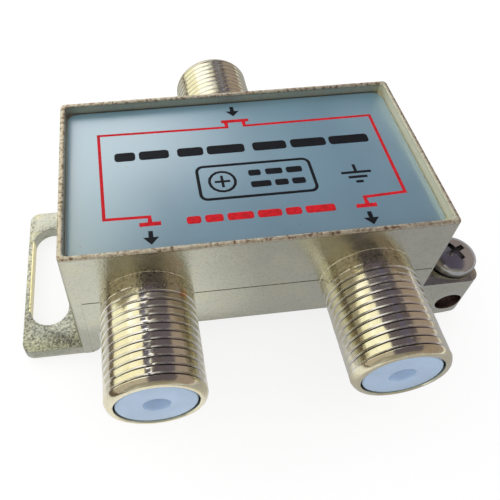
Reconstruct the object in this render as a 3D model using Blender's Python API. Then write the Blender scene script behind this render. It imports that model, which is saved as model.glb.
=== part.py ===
"""Two way coaxial splitter: a die cast box with one input and two output sockets.

The origin is the centre of the footprint on the mounting plane. +X points from the screw ear to
the earth terminal, +Y from the output sockets to the input socket, and +Z up to the label.
"""

from math import atan2, cos, pi, radians, sin, tan, tau

import bmesh
import bpy
from mathutils import Matrix, Vector

MM = 0.001

# Body of the casting, without its ear, terminal and sockets
BODY_LENGTH = 38.1 * MM
BODY_DEPTH = 21.5 * MM
BODY_TOP = 18.2 * MM
BODY_CORNER = 0.5 * MM
LONG_WALL = 1.5 * MM
ROOF = 1.3 * MM
CAVITY_CORNER = 1.0 * MM
CAVITY_DRAFT = radians(0.5)

# Feet: the end walls run down past the long walls
FOOT_HEIGHT = 4.5 * MM
FOOT_WIDTH = 2.25 * MM
FOOT_ROUND = 1.5 * MM
FOOT_FILLET = 0.3 * MM

# Ear with its screw slot, on the left
EAR_REACH = 6.35 * MM
EAR_THICKNESS = 1.5 * MM
EAR_CORNER = 1.2 * MM
EAR_SETBACK = 1.75 * MM
SLOT_WIDTH = 4.4 * MM
SLOT_LENGTH = 13.8 * MM
SLOT_EDGE = 0.65 * MM
SLOT_SETBACK = 3.2 * MM

# Earth terminal, on the right: a block with a wire hole and a clamping screw across it
TERMINAL_REACH = 6.35 * MM
TERMINAL_DEPTH = 6.0 * MM
TERMINAL_TOP = 6.9 * MM
TERMINAL_CORNER = 1.3 * MM
TERMINAL_UNDERSIDE = 0.7 * MM
TERMINAL_AXIS = 4.05 * MM
WIRE_HOLE_RADIUS = 1.5 * MM
WIRE_HOLE_HEIGHT = 2.7 * MM

# Recess in the top, and the label in it
RIM_WIDTH = 0.55 * MM
RECESS_CORNER = 0.4 * MM
LABEL_SINK = 1.1 * MM
LABEL_THICKNESS = 0.15 * MM
LABEL_CORNER = 0.8 * MM
LABEL_GAP = 0.15 * MM
GLUE = 0.05 * MM

# Sockets, all with the same thread, bore and length
SOCKET_HEIGHT = 10.5 * MM
SOCKET_SPACING = 22.5 * MM
SOCKET_LENGTH = 11.0 * MM
SOCKET_RADIUS = 4.7 * MM
LIP_CHAMFER = 0.5 * MM
LIP_LENGTH = 1.0 * MM
BORE_RADIUS = 3.88 * MM
SHOULDER = 0.4 * MM
SPIGOT_BORE_RADIUS = 1.7 * MM

# Insulators: plugs with a funnel in front and a spigot through the wall behind
INSULATOR_SINK = 0.1 * MM
INSULATOR_EDGE = 0.15 * MM
SPIGOT_REACH = 0.6 * MM
FUNNEL_RADIUS = 1.2 * MM
FUNNEL_DEPTH = 1.4 * MM
THROAT_RADIUS = 0.6 * MM
THROAT_LENGTH = 0.8 * MM

# Contacts: slit tubes that grip the centre wire of a plug, each with a bent tail
CONTACT_RADIUS = 0.9 * MM
CONTACT_BORE_RADIUS = 0.5 * MM
CONTACT_BORE_DEPTH = 6.0 * MM
CONTACT_SLIT = 0.25 * MM
CONTACT_SLIT_LENGTH = 5.0 * MM
TAIL_RADIUS = 0.35 * MM
TAIL_REACH = 1.6 * MM
TAIL_BEND = 0.5 * MM

# Clamping screw, M2.5 with a pan head and a cross recess
SCREW_RADIUS = 1.25 * MM
SCREW_LENGTH = 5.0 * MM
SCREW_POINT = 0.4 * MM
HEAD_RADIUS = 2.5 * MM
HEAD_HEIGHT = 1.75 * MM
HEAD_SIDE = 0.7 * MM
CROSS_SPAN = 2.6 * MM
CROSS_WIDTH = 0.65 * MM
CROSS_DEPTH = 1.1 * MM
CROSS_TAPER = radians(8)

# Back cover: a plate on a ledge in the open underside, its middle pressed inwards
COVER_SINK = 0.25 * MM
COVER_THICKNESS = 0.5 * MM
COVER_LEDGE = 0.6 * MM
COVER_MARGIN = 3.0 * MM
COVER_EMBOSS = 0.4 * MM
COVER_SLOPE = radians(30)

# Circuit board, held between the contact tails and four cast ribs on the long walls
BOARD_UNDERSIDE = 7.6 * MM
BOARD_THICKNESS = 1.0 * MM
BOARD_CORNER = 0.8 * MM
BOARD_GAP = 0.3 * MM
RIB_X = 5.5 * MM
RIB_WIDTH = 1.6 * MM
RIB_REACH = 1.2 * MM
RIB_FILLET = 0.3 * MM
LEAD_STUB = 0.8 * MM
LEAD_GAP = 0.12 * MM

# Ferrite cores with two holes, and the turns of enamelled wire through them
CORE_WIDTH = 5.0 * MM
CORE_HEIGHT = 3.0 * MM
CORE_LENGTH = 2.4 * MM
CORE_HOLE_RADIUS = 0.75 * MM
CORE_HOLE_SPACING = 2.0 * MM
WINDING_TURNS = 3
WINDING_PITCH = 0.3 * MM
WINDING_WIRE_RADIUS = 0.12 * MM
CORE_X = 2.9 * MM

# Chokes: air cored coils that pass supply current to each output. Each setback, here and
# below, runs from the inside of the nearest long wall
CHOKE_TURNS = 5
CHOKE_RADIUS = 1.1 * MM
CHOKE_PITCH = 0.7 * MM
CHOKE_WIRE_RADIUS = 0.2 * MM
CHOKE_X = 8.6 * MM
CHOKE_SETBACK = 4.85 * MM

# Parts with wire leads
LEAD_RADIUS = 0.25 * MM
LEAD_BEND = 0.5 * MM
BODY_EDGE = 0.3 * MM
DIODE_RADIUS = 0.9 * MM
DIODE_LENGTH = 3.8 * MM
DIODE_SPAN = 5.6 * MM
DIODE_X = 8.6 * MM
RESISTOR_RADIUS = 0.9 * MM
RESISTOR_WAIST = 0.75 * MM
RESISTOR_CAP = 0.9 * MM
RESISTOR_LENGTH = 3.6 * MM
RESISTOR_SPAN = 6.4 * MM
RESISTOR_SETBACK = 2.15 * MM
DISC_RADIUS = 1.8 * MM
DISC_THICKNESS = 1.3 * MM
DISC_EDGE = 0.5 * MM
DISC_RIM = 0.4 * MM
DISC_SPAN = 2.0 * MM
INPUT_DISC_X = 4.2 * MM
INPUT_DISC_SETBACK = 2.25 * MM
OUTPUT_DISC_X = 7.2 * MM
OUTPUT_DISC_SETBACK = 4.65 * MM

# Clearances: round a piece, under a seated piece, and under the cover's edge. Then the step
# between nearly flush faces of the casting, and how far a cutter or a root runs past a face
FIT = 0.15 * MM
SEAT = 0.15 * MM
COVER_PLAY = 0.05 * MM
STEP = 0.05 * MM
PAST = 1.0 * MM

# Facets of the round forms
SOCKET_FACETS = 32
ROUND_FACETS = 24
SMALL_FACETS = 16
BODY_FACETS = 12
HOLE_FACETS = 8
ARC_FACETS = 4
DOME_FACETS = 4
WINDING_FACETS = 5
CHOKE_FACETS = 8
MERGE = 0.0005 * MM
SMOOTH_ANGLE = radians(35)

# Colour, roughness and metallic value of each finish
FINISHES = {
    "nickel_plated_zinc": ((0.66, 0.63, 0.52), 0.32, 1.0),
    "tinned_steel": ((0.62, 0.62, 0.60), 0.38, 1.0),
    "label_foil": ((0.45, 0.62, 0.68), 0.45, 0.3),
    "white_plastic": ((0.78, 0.84, 0.93), 0.35, 0.0),
    "tinned_bronze": ((0.70, 0.62, 0.45), 0.30, 1.0),
    "zinc_plated_steel": ((0.62, 0.68, 0.72), 0.22, 1.0),
    "board_laminate": ((0.45, 0.30, 0.12), 0.60, 0.0),
    "ferrite": ((0.06, 0.06, 0.065), 0.70, 0.0),
    "enamelled_copper": ((0.60, 0.22, 0.08), 0.30, 0.9),
    "resistor_lacquer": ((0.62, 0.50, 0.32), 0.50, 0.0),
    "ceramic_disc": ((0.70, 0.36, 0.10), 0.55, 0.0),
    "diode_glass": ((0.60, 0.20, 0.07), 0.15, 0.0),
}

HALF_LENGTH = BODY_LENGTH / 2
HALF_DEPTH = BODY_DEPTH / 2
EAR_END = HALF_LENGTH + EAR_REACH
TERMINAL_END = HALF_LENGTH + TERMINAL_REACH
TERMINAL_X = HALF_LENGTH + TERMINAL_AXIS
TERMINAL_Y = -HALF_DEPTH + TERMINAL_DEPTH / 2
RECESS_FLOOR = BODY_TOP - LABEL_SINK - LABEL_THICKNESS - GLUE
CAVITY_TOP = RECESS_FLOOR - ROOF
CAVITY_DEPTH = BODY_DEPTH - 2 * LONG_WALL
COVER_SEAT = FOOT_HEIGHT + COVER_SINK + COVER_THICKNESS + COVER_PLAY
COVER_POCKET_LENGTH = BODY_LENGTH - 2 * (FOOT_WIDTH + FOOT_FILLET + FIT)
COVER_POCKET_DEPTH = CAVITY_DEPTH + 2 * COVER_LEDGE
CAVITY_LENGTH = COVER_POCKET_LENGTH - 2 * COVER_LEDGE
BOARD_TOP = BOARD_UNDERSIDE + BOARD_THICKNESS
RIB_FOOT = BOARD_TOP + SEAT
LEAD_END = BOARD_UNDERSIDE - LEAD_STUB
SPIGOT_END = -LONG_WALL - SPIGOT_REACH
TAIL_Y = HALF_DEPTH + SPIGOT_END - TAIL_REACH
CHOKE_Y = CAVITY_DEPTH / 2 - CHOKE_SETBACK
INPUT_DISC_Y = CAVITY_DEPTH / 2 - INPUT_DISC_SETBACK
OUTPUT_DISC_Y = OUTPUT_DISC_SETBACK - CAVITY_DEPTH / 2
RESISTOR_Y = RESISTOR_SETBACK - CAVITY_DEPTH / 2

# Turn that stands a front outline upright, so that its extrusion runs along -Y
UPRIGHT = (pi / 2, 0, 0)


def clear_scene():
    for item in list(bpy.data.objects):
        bpy.data.objects.remove(item)


def material(finish):
    """The Principled material of one of the finishes above."""
    found = bpy.data.materials.get(finish)
    if found:
        return found
    colour, roughness, metallic = FINISHES[finish]
    made = bpy.data.materials.new(finish)
    made.use_nodes = True
    shader = made.node_tree.nodes["Principled BSDF"]
    shader.inputs["Base Color"].default_value = (*colour, 1.0)
    shader.inputs["Roughness"].default_value = roughness
    shader.inputs["Metallic"].default_value = metallic
    made.diffuse_color = (*colour, 1.0)
    return made


def placed(name, shape, finish=None, location=(0, 0, 0), rotation=(0, 0, 0), parent=None):
    """An object made from the shape, which is used up. Without a finish it is a hidden helper."""
    mesh = bpy.data.meshes.new(name)
    bmesh.ops.recalc_face_normals(shape, faces=shape.faces)
    shape.to_mesh(mesh)
    shape.free()
    mesh.shade_smooth()
    mesh.set_sharp_from_angle(angle=SMOOTH_ANGLE)
    made = bpy.data.objects.new(name, mesh)
    bpy.context.scene.collection.objects.link(made)
    made.location = location
    made.rotation_euler = rotation
    made.parent = parent
    if finish:
        mesh.materials.append(material(finish))
    else:
        made.hide_render = True
        made.display_type = "WIRE"
    return made


def combine(target, operation, helper, solver="EXACT"):
    """A Boolean of the target with a hidden helper: UNION adds it, DIFFERENCE cuts it out."""
    step = target.modifiers.new(helper.name, "BOOLEAN")
    step.operation = operation
    step.solver = solver
    step.object = helper


def rounded(corners, facets=ARC_FACETS):
    """Points of a closed outline, with an arc at each corner (x, y, radius) that has a radius."""
    points = []
    for index, (x, y, radius) in enumerate(corners):
        here = Vector((x, y))
        if not radius:
            points.append(here)
            continue
        back = (Vector(corners[index - 1][:2]) - here).normalized()
        ahead = (Vector(corners[(index + 1) % len(corners)][:2]) - here).normalized()
        half_angle = back.angle(ahead) / 2
        centre = here + (back + ahead).normalized() * radius / sin(half_angle)
        start = here + back * radius / tan(half_angle) - centre
        end = here + ahead * radius / tan(half_angle) - centre
        turn = atan2(start.x * end.y - start.y * end.x, start.dot(end))
        for step in range(facets + 1):
            points.append(centre + Matrix.Rotation(turn * step / facets, 2) @ start)
    return points


def rectangle(length, depth, radius, facets=ARC_FACETS):
    """Outline of a rectangle about the origin, with rounded corners."""
    x = length / 2
    y = depth / 2
    return rounded([(-x, -y, radius), (x, -y, radius), (x, y, radius), (-x, y, radius)], facets)


def stadium(length, width, facets):
    """Outline of a slot with round ends about the origin, long along Y."""
    points = []
    for step in range(facets + 1):
        angle = pi * step / facets
        points.append(Vector((cos(angle), sin(angle))) * width / 2 + Vector((0, (length - width) / 2)))
    return points + [-point for point in points]


def extruded(outline, height, draft=0.0):
    """The outline's face at Z 0, extruded up and drawn in on every side by the draft angle."""
    shape = bmesh.new()
    base = shape.faces.new([shape.verts.new((x, y, 0.0)) for x, y in outline])
    sweep = bmesh.ops.extrude_face_region(shape, geom=[base])
    top = [item for item in sweep["geom"] if isinstance(item, bmesh.types.BMVert)]
    bmesh.ops.translate(shape, verts=top, vec=(0, 0, height))
    reach_x = max(x for x, y in outline)
    reach_y = max(y for x, y in outline)
    inset = height * tan(draft)
    bmesh.ops.scale(shape, verts=top, vec=(1 - inset / reach_x, 1 - inset / reach_y, 1.0))
    return shape


def turned(profile, facets, hollow=False):
    """The (radius, height) profile spun round Z. A hollow one is a closed loop off the axis."""
    shape = bmesh.new()
    points = [shape.verts.new((radius, 0.0, height)) for radius, height in profile]
    edges = [shape.edges.new(pair) for pair in zip(points, points[1:])]
    if hollow:
        edges.append(shape.edges.new((points[-1], points[0])))
    bmesh.ops.spin(
        shape,
        geom=points + edges,
        cent=(0, 0, 0),
        axis=(0, 0, 1),
        angle=tau,
        steps=facets,
        use_merge=True,
    )
    bmesh.ops.remove_doubles(shape, verts=shape.verts, dist=MERGE)
    return shape


def rod(radius, low, high, facets=SMALL_FACETS):
    return turned([(0, low), (radius, low), (radius, high), (0, high)], facets)


def wire(path, radius, resolution=1):
    """A round wire along the path, with flat closed ends."""
    curve = bpy.data.curves.new("wire", "CURVE")
    curve.dimensions = "3D"
    curve.bevel_depth = radius
    curve.bevel_resolution = resolution
    curve.use_fill_caps = True
    spline = curve.splines.new("POLY")
    spline.points.add(len(path) - 1)
    for point, place in zip(spline.points, path):
        point.co = (*place, 1.0)
    holder = bpy.data.objects.new("wire", curve)
    shape = bmesh.new()
    shape.from_mesh(holder.to_mesh())
    bpy.data.objects.remove(holder)
    bmesh.ops.remove_doubles(shape, verts=shape.verts, dist=MERGE)
    return shape


def bend(start, corner, end, radius, facets=ARC_FACETS):
    """Points of a right-angled bend of the given radius between two straight runs."""
    centre = corner + ((start - corner).normalized() + (end - corner).normalized()) * radius
    first = corner + (start - corner).normalized() * radius - centre
    last = corner + (end - corner).normalized() * radius - centre
    angles = [pi / 2 * step / facets for step in range(facets + 1)]
    return [centre + first * cos(angle) + last * sin(angle) for angle in angles]


def staple(span, rise, drop, radius):
    """Path of a lead: up from its drop below Z 0, across at the rise, and down again."""
    low_left = Vector((-span / 2, 0, -drop))
    high_left = Vector((-span / 2, 0, rise))
    high_right = Vector((span / 2, 0, rise))
    low_right = Vector((span / 2, 0, -drop))
    left = bend(low_left, high_left, high_right, radius)
    right = bend(high_left, high_right, low_right, radius)
    return [low_left] + left + right + [low_right]


def body_form():
    """Body and feet: the front outline over the depth, with rounded upright corners."""
    inner = HALF_LENGTH - FOOT_WIDTH
    outline = rounded(
        [
            (-HALF_LENGTH, 0, 0),
            (-inner, 0, FOOT_ROUND),
            (-inner, FOOT_HEIGHT, FOOT_FILLET),
            (inner, FOOT_HEIGHT, FOOT_FILLET),
            (inner, 0, FOOT_ROUND),
            (HALF_LENGTH, 0, 0),
            (HALF_LENGTH, BODY_TOP, 0),
            (-HALF_LENGTH, BODY_TOP, 0),
        ]
    )
    shape = extruded(outline, BODY_DEPTH)
    upright = [
        edge
        for edge in shape.edges
        if edge.verts[0].co.z == edge.verts[1].co.z
        and min(abs(vert.co.x) for vert in edge.verts) > HALF_LENGTH - MERGE
        and edge.calc_length() > BODY_TOP / 2
    ]
    bmesh.ops.bevel(
        shape,
        geom=upright,
        offset=BODY_CORNER,
        offset_type="OFFSET",
        segments=ARC_FACETS,
        profile=0.5,
        affect="EDGES",
    )
    return shape


def ear_form():
    """The ear, which ends short of the body's back."""
    front = STEP - HALF_DEPTH
    back = HALF_DEPTH - EAR_SETBACK
    outline = rounded(
        [
            (-EAR_END, front, EAR_CORNER),
            (PAST - HALF_LENGTH, front, 0),
            (PAST - HALF_LENGTH, back, 0),
            (-EAR_END, back, EAR_CORNER),
        ]
    )
    return extruded(outline, EAR_THICKNESS)


def terminal_form():
    """The terminal block, with its outer upright corners and its lower edge rounded."""
    front = STEP - HALF_DEPTH
    back = TERMINAL_DEPTH - HALF_DEPTH
    outline = rounded(
        [
            (HALF_LENGTH - PAST, front, 0),
            (TERMINAL_END, front, TERMINAL_CORNER),
            (TERMINAL_END, back, TERMINAL_CORNER),
            (HALF_LENGTH - PAST, back, 0),
        ]
    )
    shape = extruded(outline, TERMINAL_TOP)
    outer = TERMINAL_END - TERMINAL_CORNER - MERGE
    lower = [
        edge
        for edge in shape.edges
        if max(vert.co.z for vert in edge.verts) < MERGE
        and min(vert.co.x for vert in edge.verts) > outer
    ]
    bmesh.ops.bevel(
        shape,
        geom=lower,
        offset=TERMINAL_UNDERSIDE,
        offset_type="OFFSET",
        segments=2,
        profile=0.5,
        affect="EDGES",
    )
    return shape


def socket_form():
    """A socket's outside, from a root in the wall to the chamfered lip."""
    return turned(
        [
            (0, -LONG_WALL / 2),
            (SOCKET_RADIUS, -LONG_WALL / 2),
            (SOCKET_RADIUS, SOCKET_LENGTH - LIP_LENGTH),
            (SOCKET_RADIUS - LIP_CHAMFER, SOCKET_LENGTH),
            (0, SOCKET_LENGTH),
        ],
        SOCKET_FACETS,
    )


def bore_form():
    """A socket's bore: wide to the shoulder, then narrow through the wall."""
    return turned(
        [
            (0, -LONG_WALL - PAST),
            (SPIGOT_BORE_RADIUS, -LONG_WALL - PAST),
            (SPIGOT_BORE_RADIUS, SHOULDER),
            (BORE_RADIUS, SHOULDER),
            (BORE_RADIUS, SOCKET_LENGTH + PAST),
            (0, SOCKET_LENGTH + PAST),
        ],
        SOCKET_FACETS,
    )


def upper_cavity_outline():
    """The cavity above the board, with a notch for each of the four ribs."""
    y = CAVITY_DEPTH / 2 - STEP
    outer = RIB_X + RIB_WIDTH / 2
    inner = RIB_X - RIB_WIDTH / 2
    quarter = [
        (CAVITY_LENGTH / 2 - STEP, y, CAVITY_CORNER),
        (outer, y, 0),
        (outer, y - RIB_REACH, RIB_FILLET),
        (inner, y - RIB_REACH, RIB_FILLET),
        (inner, y, 0),
    ]
    corners = list(quarter)
    corners += [(-x1, y1, r1) for x1, y1, r1 in reversed(quarter)]
    corners += [(-x1, -y1, r1) for x1, y1, r1 in quarter]
    corners += [(x1, -y1, r1) for x1, y1, r1 in reversed(quarter)]
    return rounded(corners, ARC_FACETS // 2)


def socket_frames():
    """Empties at the wall face, one for each socket, with +Z out of the mouth and +Y up."""
    frames = {}
    for name, x, side in (
        ("output_left", -SOCKET_SPACING / 2, -1),
        ("output_right", SOCKET_SPACING / 2, -1),
        ("input", 0, 1),
    ):
        frame = bpy.data.objects.new(name + "_axis", None)
        bpy.context.scene.collection.objects.link(frame)
        frame.empty_display_size = SOCKET_RADIUS
        frame.location = (x, side * HALF_DEPTH, SOCKET_HEIGHT)
        frame.rotation_euler = (pi / 2, 0, pi if side > 0 else 0)
        frames[name] = frame
    return frames


def housing_forms(frames):
    """What the body is joined with: ear, terminal and the outsides of the sockets."""
    forms = [placed("ear_form", ear_form()), placed("terminal_form", terminal_form())]
    for name, frame in frames.items():
        forms.append(placed(name + "_socket_form", socket_form(), parent=frame))
    return forms


def housing_cutters(frames):
    """What is cut out of the casting: slot, label recess, cavity, holes and bores."""
    slot = placed(
        "slot_cut",
        extruded(stadium(SLOT_LENGTH, SLOT_WIDTH, 2 * ARC_FACETS), EAR_THICKNESS + 2 * PAST),
        location=(
            SLOT_EDGE + SLOT_WIDTH / 2 - EAR_END,
            SLOT_SETBACK + SLOT_LENGTH / 2 - HALF_DEPTH,
            -PAST,
        ),
    )
    recess = placed(
        "label_recess_cut",
        extruded(
            rectangle(BODY_LENGTH - 2 * RIM_WIDTH, BODY_DEPTH - 2 * RIM_WIDTH, RECESS_CORNER),
            BODY_TOP - RECESS_FLOOR + PAST,
        ),
        location=(0, 0, RECESS_FLOOR),
    )
    pocket = placed(
        "cover_pocket_cut",
        extruded(
            rectangle(COVER_POCKET_LENGTH, COVER_POCKET_DEPTH, CAVITY_CORNER),
            COVER_SEAT - FOOT_HEIGHT + PAST,
        ),
        location=(0, 0, FOOT_HEIGHT - PAST),
    )
    lower = placed(
        "lower_cavity_cut",
        extruded(
            rectangle(CAVITY_LENGTH, CAVITY_DEPTH, CAVITY_CORNER),
            RIB_FOOT - FOOT_HEIGHT,
        ),
        location=(0, 0, FOOT_HEIGHT),
    )
    upper = placed(
        "upper_cavity_cut",
        extruded(upper_cavity_outline(), CAVITY_TOP - BOARD_UNDERSIDE, CAVITY_DRAFT),
        location=(0, 0, BOARD_UNDERSIDE),
    )
    wire_hole = placed(
        "wire_hole_cut",
        rod(WIRE_HOLE_RADIUS, -PAST, TERMINAL_DEPTH + PAST),
        location=(TERMINAL_X, TERMINAL_DEPTH - HALF_DEPTH, WIRE_HOLE_HEIGHT),
        rotation=UPRIGHT,
    )
    screw_hole = placed(
        "screw_hole_cut",
        rod(SCREW_RADIUS + FIT, WIRE_HOLE_HEIGHT, TERMINAL_TOP + PAST),
        location=(TERMINAL_X, TERMINAL_Y, 0),
    )
    cutters = [slot, recess, pocket, lower, upper, wire_hole, screw_hole]
    for name, frame in frames.items():
        cutters.append(placed(name + "_bore_cut", bore_form(), parent=frame))
    return cutters


def housing(frames):
    """The casting: body, feet, ear, terminal and three sockets in one piece, open below."""
    place = (0, HALF_DEPTH, 0)
    casting = placed("housing", body_form(), "nickel_plated_zinc", place, UPRIGHT)
    for form in housing_forms(frames):
        combine(casting, "UNION", form, "MANIFOLD")
    for cutter in housing_cutters(frames):
        combine(casting, "DIFFERENCE", cutter, "MANIFOLD")


def label():
    outline = rectangle(
        BODY_LENGTH - 2 * (RIM_WIDTH + LABEL_GAP),
        BODY_DEPTH - 2 * (RIM_WIDTH + LABEL_GAP),
        LABEL_CORNER,
    )
    shape = extruded(outline, LABEL_THICKNESS)
    placed("label", shape, "label_foil", (0, 0, RECESS_FLOOR + GLUE))


def cover_plate(margin):
    """Outline of the cover, drawn in by the margin on every side."""
    inset = 2 * (FIT + margin)
    corner = CAVITY_CORNER - FIT
    return rectangle(COVER_POCKET_LENGTH - inset, COVER_POCKET_DEPTH - inset, corner)


def back_cover():
    cover = placed(
        "back_cover",
        extruded(cover_plate(0), COVER_THICKNESS),
        "tinned_steel",
        (0, 0, FOOT_HEIGHT + COVER_SINK),
    )
    root = COVER_THICKNESS / 2
    raised = placed(
        "cover_field_form",
        extruded(cover_plate(COVER_MARGIN), root + COVER_EMBOSS, COVER_SLOPE),
        location=(0, 0, root),
        parent=cover,
    )
    mouth = COVER_MARGIN + COVER_THICKNESS - PAST * tan(COVER_SLOPE)
    dished = placed(
        "cover_field_cut",
        extruded(cover_plate(mouth), PAST + COVER_EMBOSS, COVER_SLOPE),
        location=(0, 0, -PAST),
        parent=cover,
    )
    combine(cover, "UNION", raised)
    combine(cover, "DIFFERENCE", dished)


def insulator(name, frame):
    """A moulded plug, turned about its socket's axis, with the chamber for the contact."""
    front = SOCKET_LENGTH - INSULATOR_SINK
    radius = BORE_RADIUS - FIT
    chamber = CONTACT_RADIUS + FIT
    throat_end = front - FUNNEL_DEPTH - THROAT_LENGTH
    profile = [
        (FUNNEL_RADIUS, front),
        (radius - INSULATOR_EDGE, front),
        (radius, front - INSULATOR_EDGE),
        (radius, SHOULDER + SEAT),
        (SPIGOT_BORE_RADIUS - FIT, SHOULDER + SEAT),
        (SPIGOT_BORE_RADIUS - FIT, SPIGOT_END),
        (chamber, SPIGOT_END),
        (chamber, throat_end),
        (THROAT_RADIUS, throat_end),
        (THROAT_RADIUS, front - FUNNEL_DEPTH),
    ]
    placed(name, turned(profile, ROUND_FACETS, hollow=True), "white_plastic", parent=frame)


def contact(name, frame):
    """A slit spring tube with a tail that bends down through the board."""
    front = SOCKET_LENGTH - INSULATOR_SINK - FUNNEL_DEPTH - THROAT_LENGTH - SEAT
    profile = [
        (0, SPIGOT_END),
        (CONTACT_RADIUS, SPIGOT_END),
        (CONTACT_RADIUS, front),
        (CONTACT_BORE_RADIUS, front),
        (CONTACT_BORE_RADIUS, front - CONTACT_BORE_DEPTH),
        (0, front - CONTACT_BORE_DEPTH),
    ]
    tube = placed(name, turned(profile, SMALL_FACETS), "tinned_bronze", parent=frame)
    slit = placed(
        name + "_slit_cut",
        extruded(rectangle(CONTACT_SLIT, 2 * CONTACT_RADIUS + PAST, 0), CONTACT_SLIT_LENGTH + PAST),
        location=(0, 0, front - CONTACT_SLIT_LENGTH),
        parent=frame,
    )
    root = Vector((0, 0, SPIGOT_END + CONTACT_RADIUS))
    corner = Vector((0, 0, SPIGOT_END - TAIL_REACH))
    tip = Vector((0, LEAD_END - SOCKET_HEIGHT, SPIGOT_END - TAIL_REACH))
    path = [root] + bend(root, corner, tip, TAIL_BEND) + [tip]
    tail = placed(name + "_tail_form", wire(path, TAIL_RADIUS, 2), parent=frame)
    combine(tube, "DIFFERENCE", slit)
    combine(tube, "UNION", tail)


def ground_screw():
    """The clamping screw, with its origin on its axis where the head meets the block."""
    half = CROSS_SPAN / 2
    wing = CROSS_WIDTH / 2
    quarter = [(half, -wing), (half, wing), (wing, wing)]
    cross = []
    for step in range(4):
        turn = Matrix.Rotation(step * pi / 2, 2)
        cross += [turn @ Vector(point) for point in quarter]
    profile = [
        (0, -SCREW_LENGTH),
        (SCREW_RADIUS - SCREW_POINT, -SCREW_LENGTH),
        (SCREW_RADIUS, SCREW_POINT - SCREW_LENGTH),
        (SCREW_RADIUS, 0),
        (HEAD_RADIUS, 0),
    ]
    for step in range(DOME_FACETS):
        angle = pi / 2 * step / DOME_FACETS
        rise = (HEAD_HEIGHT - HEAD_SIDE) * sin(angle)
        profile.append((HEAD_RADIUS * cos(angle), HEAD_SIDE + rise))
    profile.append((0, HEAD_HEIGHT))
    place = (TERMINAL_X, TERMINAL_Y, TERMINAL_TOP + SEAT)
    screw = placed("ground_screw", turned(profile, ROUND_FACETS), "zinc_plated_steel", place)
    recess = placed(
        "cross_recess_cut",
        extruded(cross, CROSS_DEPTH + PAST, -CROSS_TAPER),
        location=(0, 0, HEAD_HEIGHT - CROSS_DEPTH),
        parent=screw,
    )
    combine(screw, "DIFFERENCE", recess)


def two_hole_core(name, x):
    """A ferrite block with rounded ends and two holes along Y, lying on the board."""
    shape = extruded(stadium(CORE_WIDTH, CORE_HEIGHT, 2 * ARC_FACETS), CORE_LENGTH)
    bmesh.ops.rotate(shape, verts=shape.verts, matrix=Matrix.Rotation(pi / 2, 3, "Z"))
    middle = BOARD_TOP + SEAT + CORE_HEIGHT / 2
    core = placed(name, shape, "ferrite", (x, CORE_LENGTH / 2, middle), UPRIGHT)
    for side, along in (("left", -CORE_HOLE_SPACING / 2), ("right", CORE_HOLE_SPACING / 2)):
        hole = placed(
            f"{name}_{side}_hole_cut",
            rod(CORE_HOLE_RADIUS, -PAST, CORE_LENGTH + PAST, BODY_FACETS),
            location=(along, 0, 0),
            parent=core,
        )
        combine(core, "DIFFERENCE", hole)


def to_board(path):
    """The path with both of its ends taken straight down through the board."""
    first = Vector((path[0].x, path[0].y, LEAD_END))
    last = Vector((path[-1].x, path[-1].y, LEAD_END))
    return [first] + path + [last]


def winding_path(middle):
    """Turns through both holes of a core, each a pitch above the last, with ends clear of them."""
    bow = CORE_HOLE_SPACING / 2
    run = CORE_LENGTH / 2 + SEAT
    clear = run + bow + 3 * WINDING_WIRE_RADIUS
    arc = [pi * step / WINDING_FACETS for step in range(WINDING_FACETS + 1)]
    front = [(bow * cos(angle), run + bow * sin(angle)) for angle in arc]
    loop = front + [(-x, -along) for x, along in front]
    rise = WINDING_PITCH / len(loop)
    level = BOARD_TOP + SEAT + (CORE_HEIGHT - WINDING_TURNS * WINDING_PITCH) / 2
    path = [Vector((bow, -clear, level - rise)), Vector((bow, -run, level - rise))]
    for step in range(WINDING_TURNS * len(loop) + 1):
        x, y = loop[step % len(loop)]
        path.append(Vector((x, y, level + rise * step)))
    path.append(Vector((bow, clear, path[-1].z)))
    return to_board([point + Vector((middle, 0, 0)) for point in path])


def choke_path(side):
    """A coil along X, with a leg clear of it at each end."""
    length = CHOKE_TURNS * CHOKE_PITCH
    middle = BOARD_TOP + SEAT + CHOKE_WIRE_RADIUS + CHOKE_RADIUS
    path = [Vector((side * (CHOKE_X - (length + CHOKE_PITCH) / 2), CHOKE_Y + CHOKE_RADIUS, middle))]
    for step in range(CHOKE_TURNS * CHOKE_FACETS + 1):
        angle = tau * step / CHOKE_FACETS
        x = side * (CHOKE_X - length / 2 + CHOKE_PITCH * step / CHOKE_FACETS)
        y = CHOKE_Y + CHOKE_RADIUS * cos(angle)
        path.append(Vector((x, y, middle + CHOKE_RADIUS * sin(angle))))
    path.append(path[-1] + Vector((side * CHOKE_PITCH / 2, 0, 0)))
    return to_board(path)


def leaded(name, body, finish, place, span, rise):
    """A bought part: its body at the rise above the board, with its wire leads joined on."""
    drop = BOARD_THICKNESS + LEAD_STUB
    item = placed(name, body, finish, (place[0], place[1], BOARD_TOP))
    lead = wire(staple(span, rise, drop, LEAD_BEND), LEAD_RADIUS)
    combine(item, "UNION", placed(name + "_lead_form", lead, parent=item))


def lying(shape, rise):
    """The shape turned from Z to lie along X, with its axis at the rise."""
    bmesh.ops.rotate(shape, verts=shape.verts, matrix=Matrix.Rotation(pi / 2, 3, "Y"))
    bmesh.ops.translate(shape, verts=shape.verts, vec=(0, 0, rise))
    return shape


def diode(name, side):
    half = DIODE_LENGTH / 2
    profile = [
        (0, -half),
        (DIODE_RADIUS - BODY_EDGE, -half),
        (DIODE_RADIUS, BODY_EDGE - half),
        (DIODE_RADIUS, half - BODY_EDGE),
        (DIODE_RADIUS - BODY_EDGE, half),
        (0, half),
    ]
    rise = DIODE_RADIUS + SEAT
    body = lying(turned(profile, BODY_FACETS), rise)
    leaded(name, body, "diode_glass", (side * DIODE_X, 0), DIODE_SPAN, rise)


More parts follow.
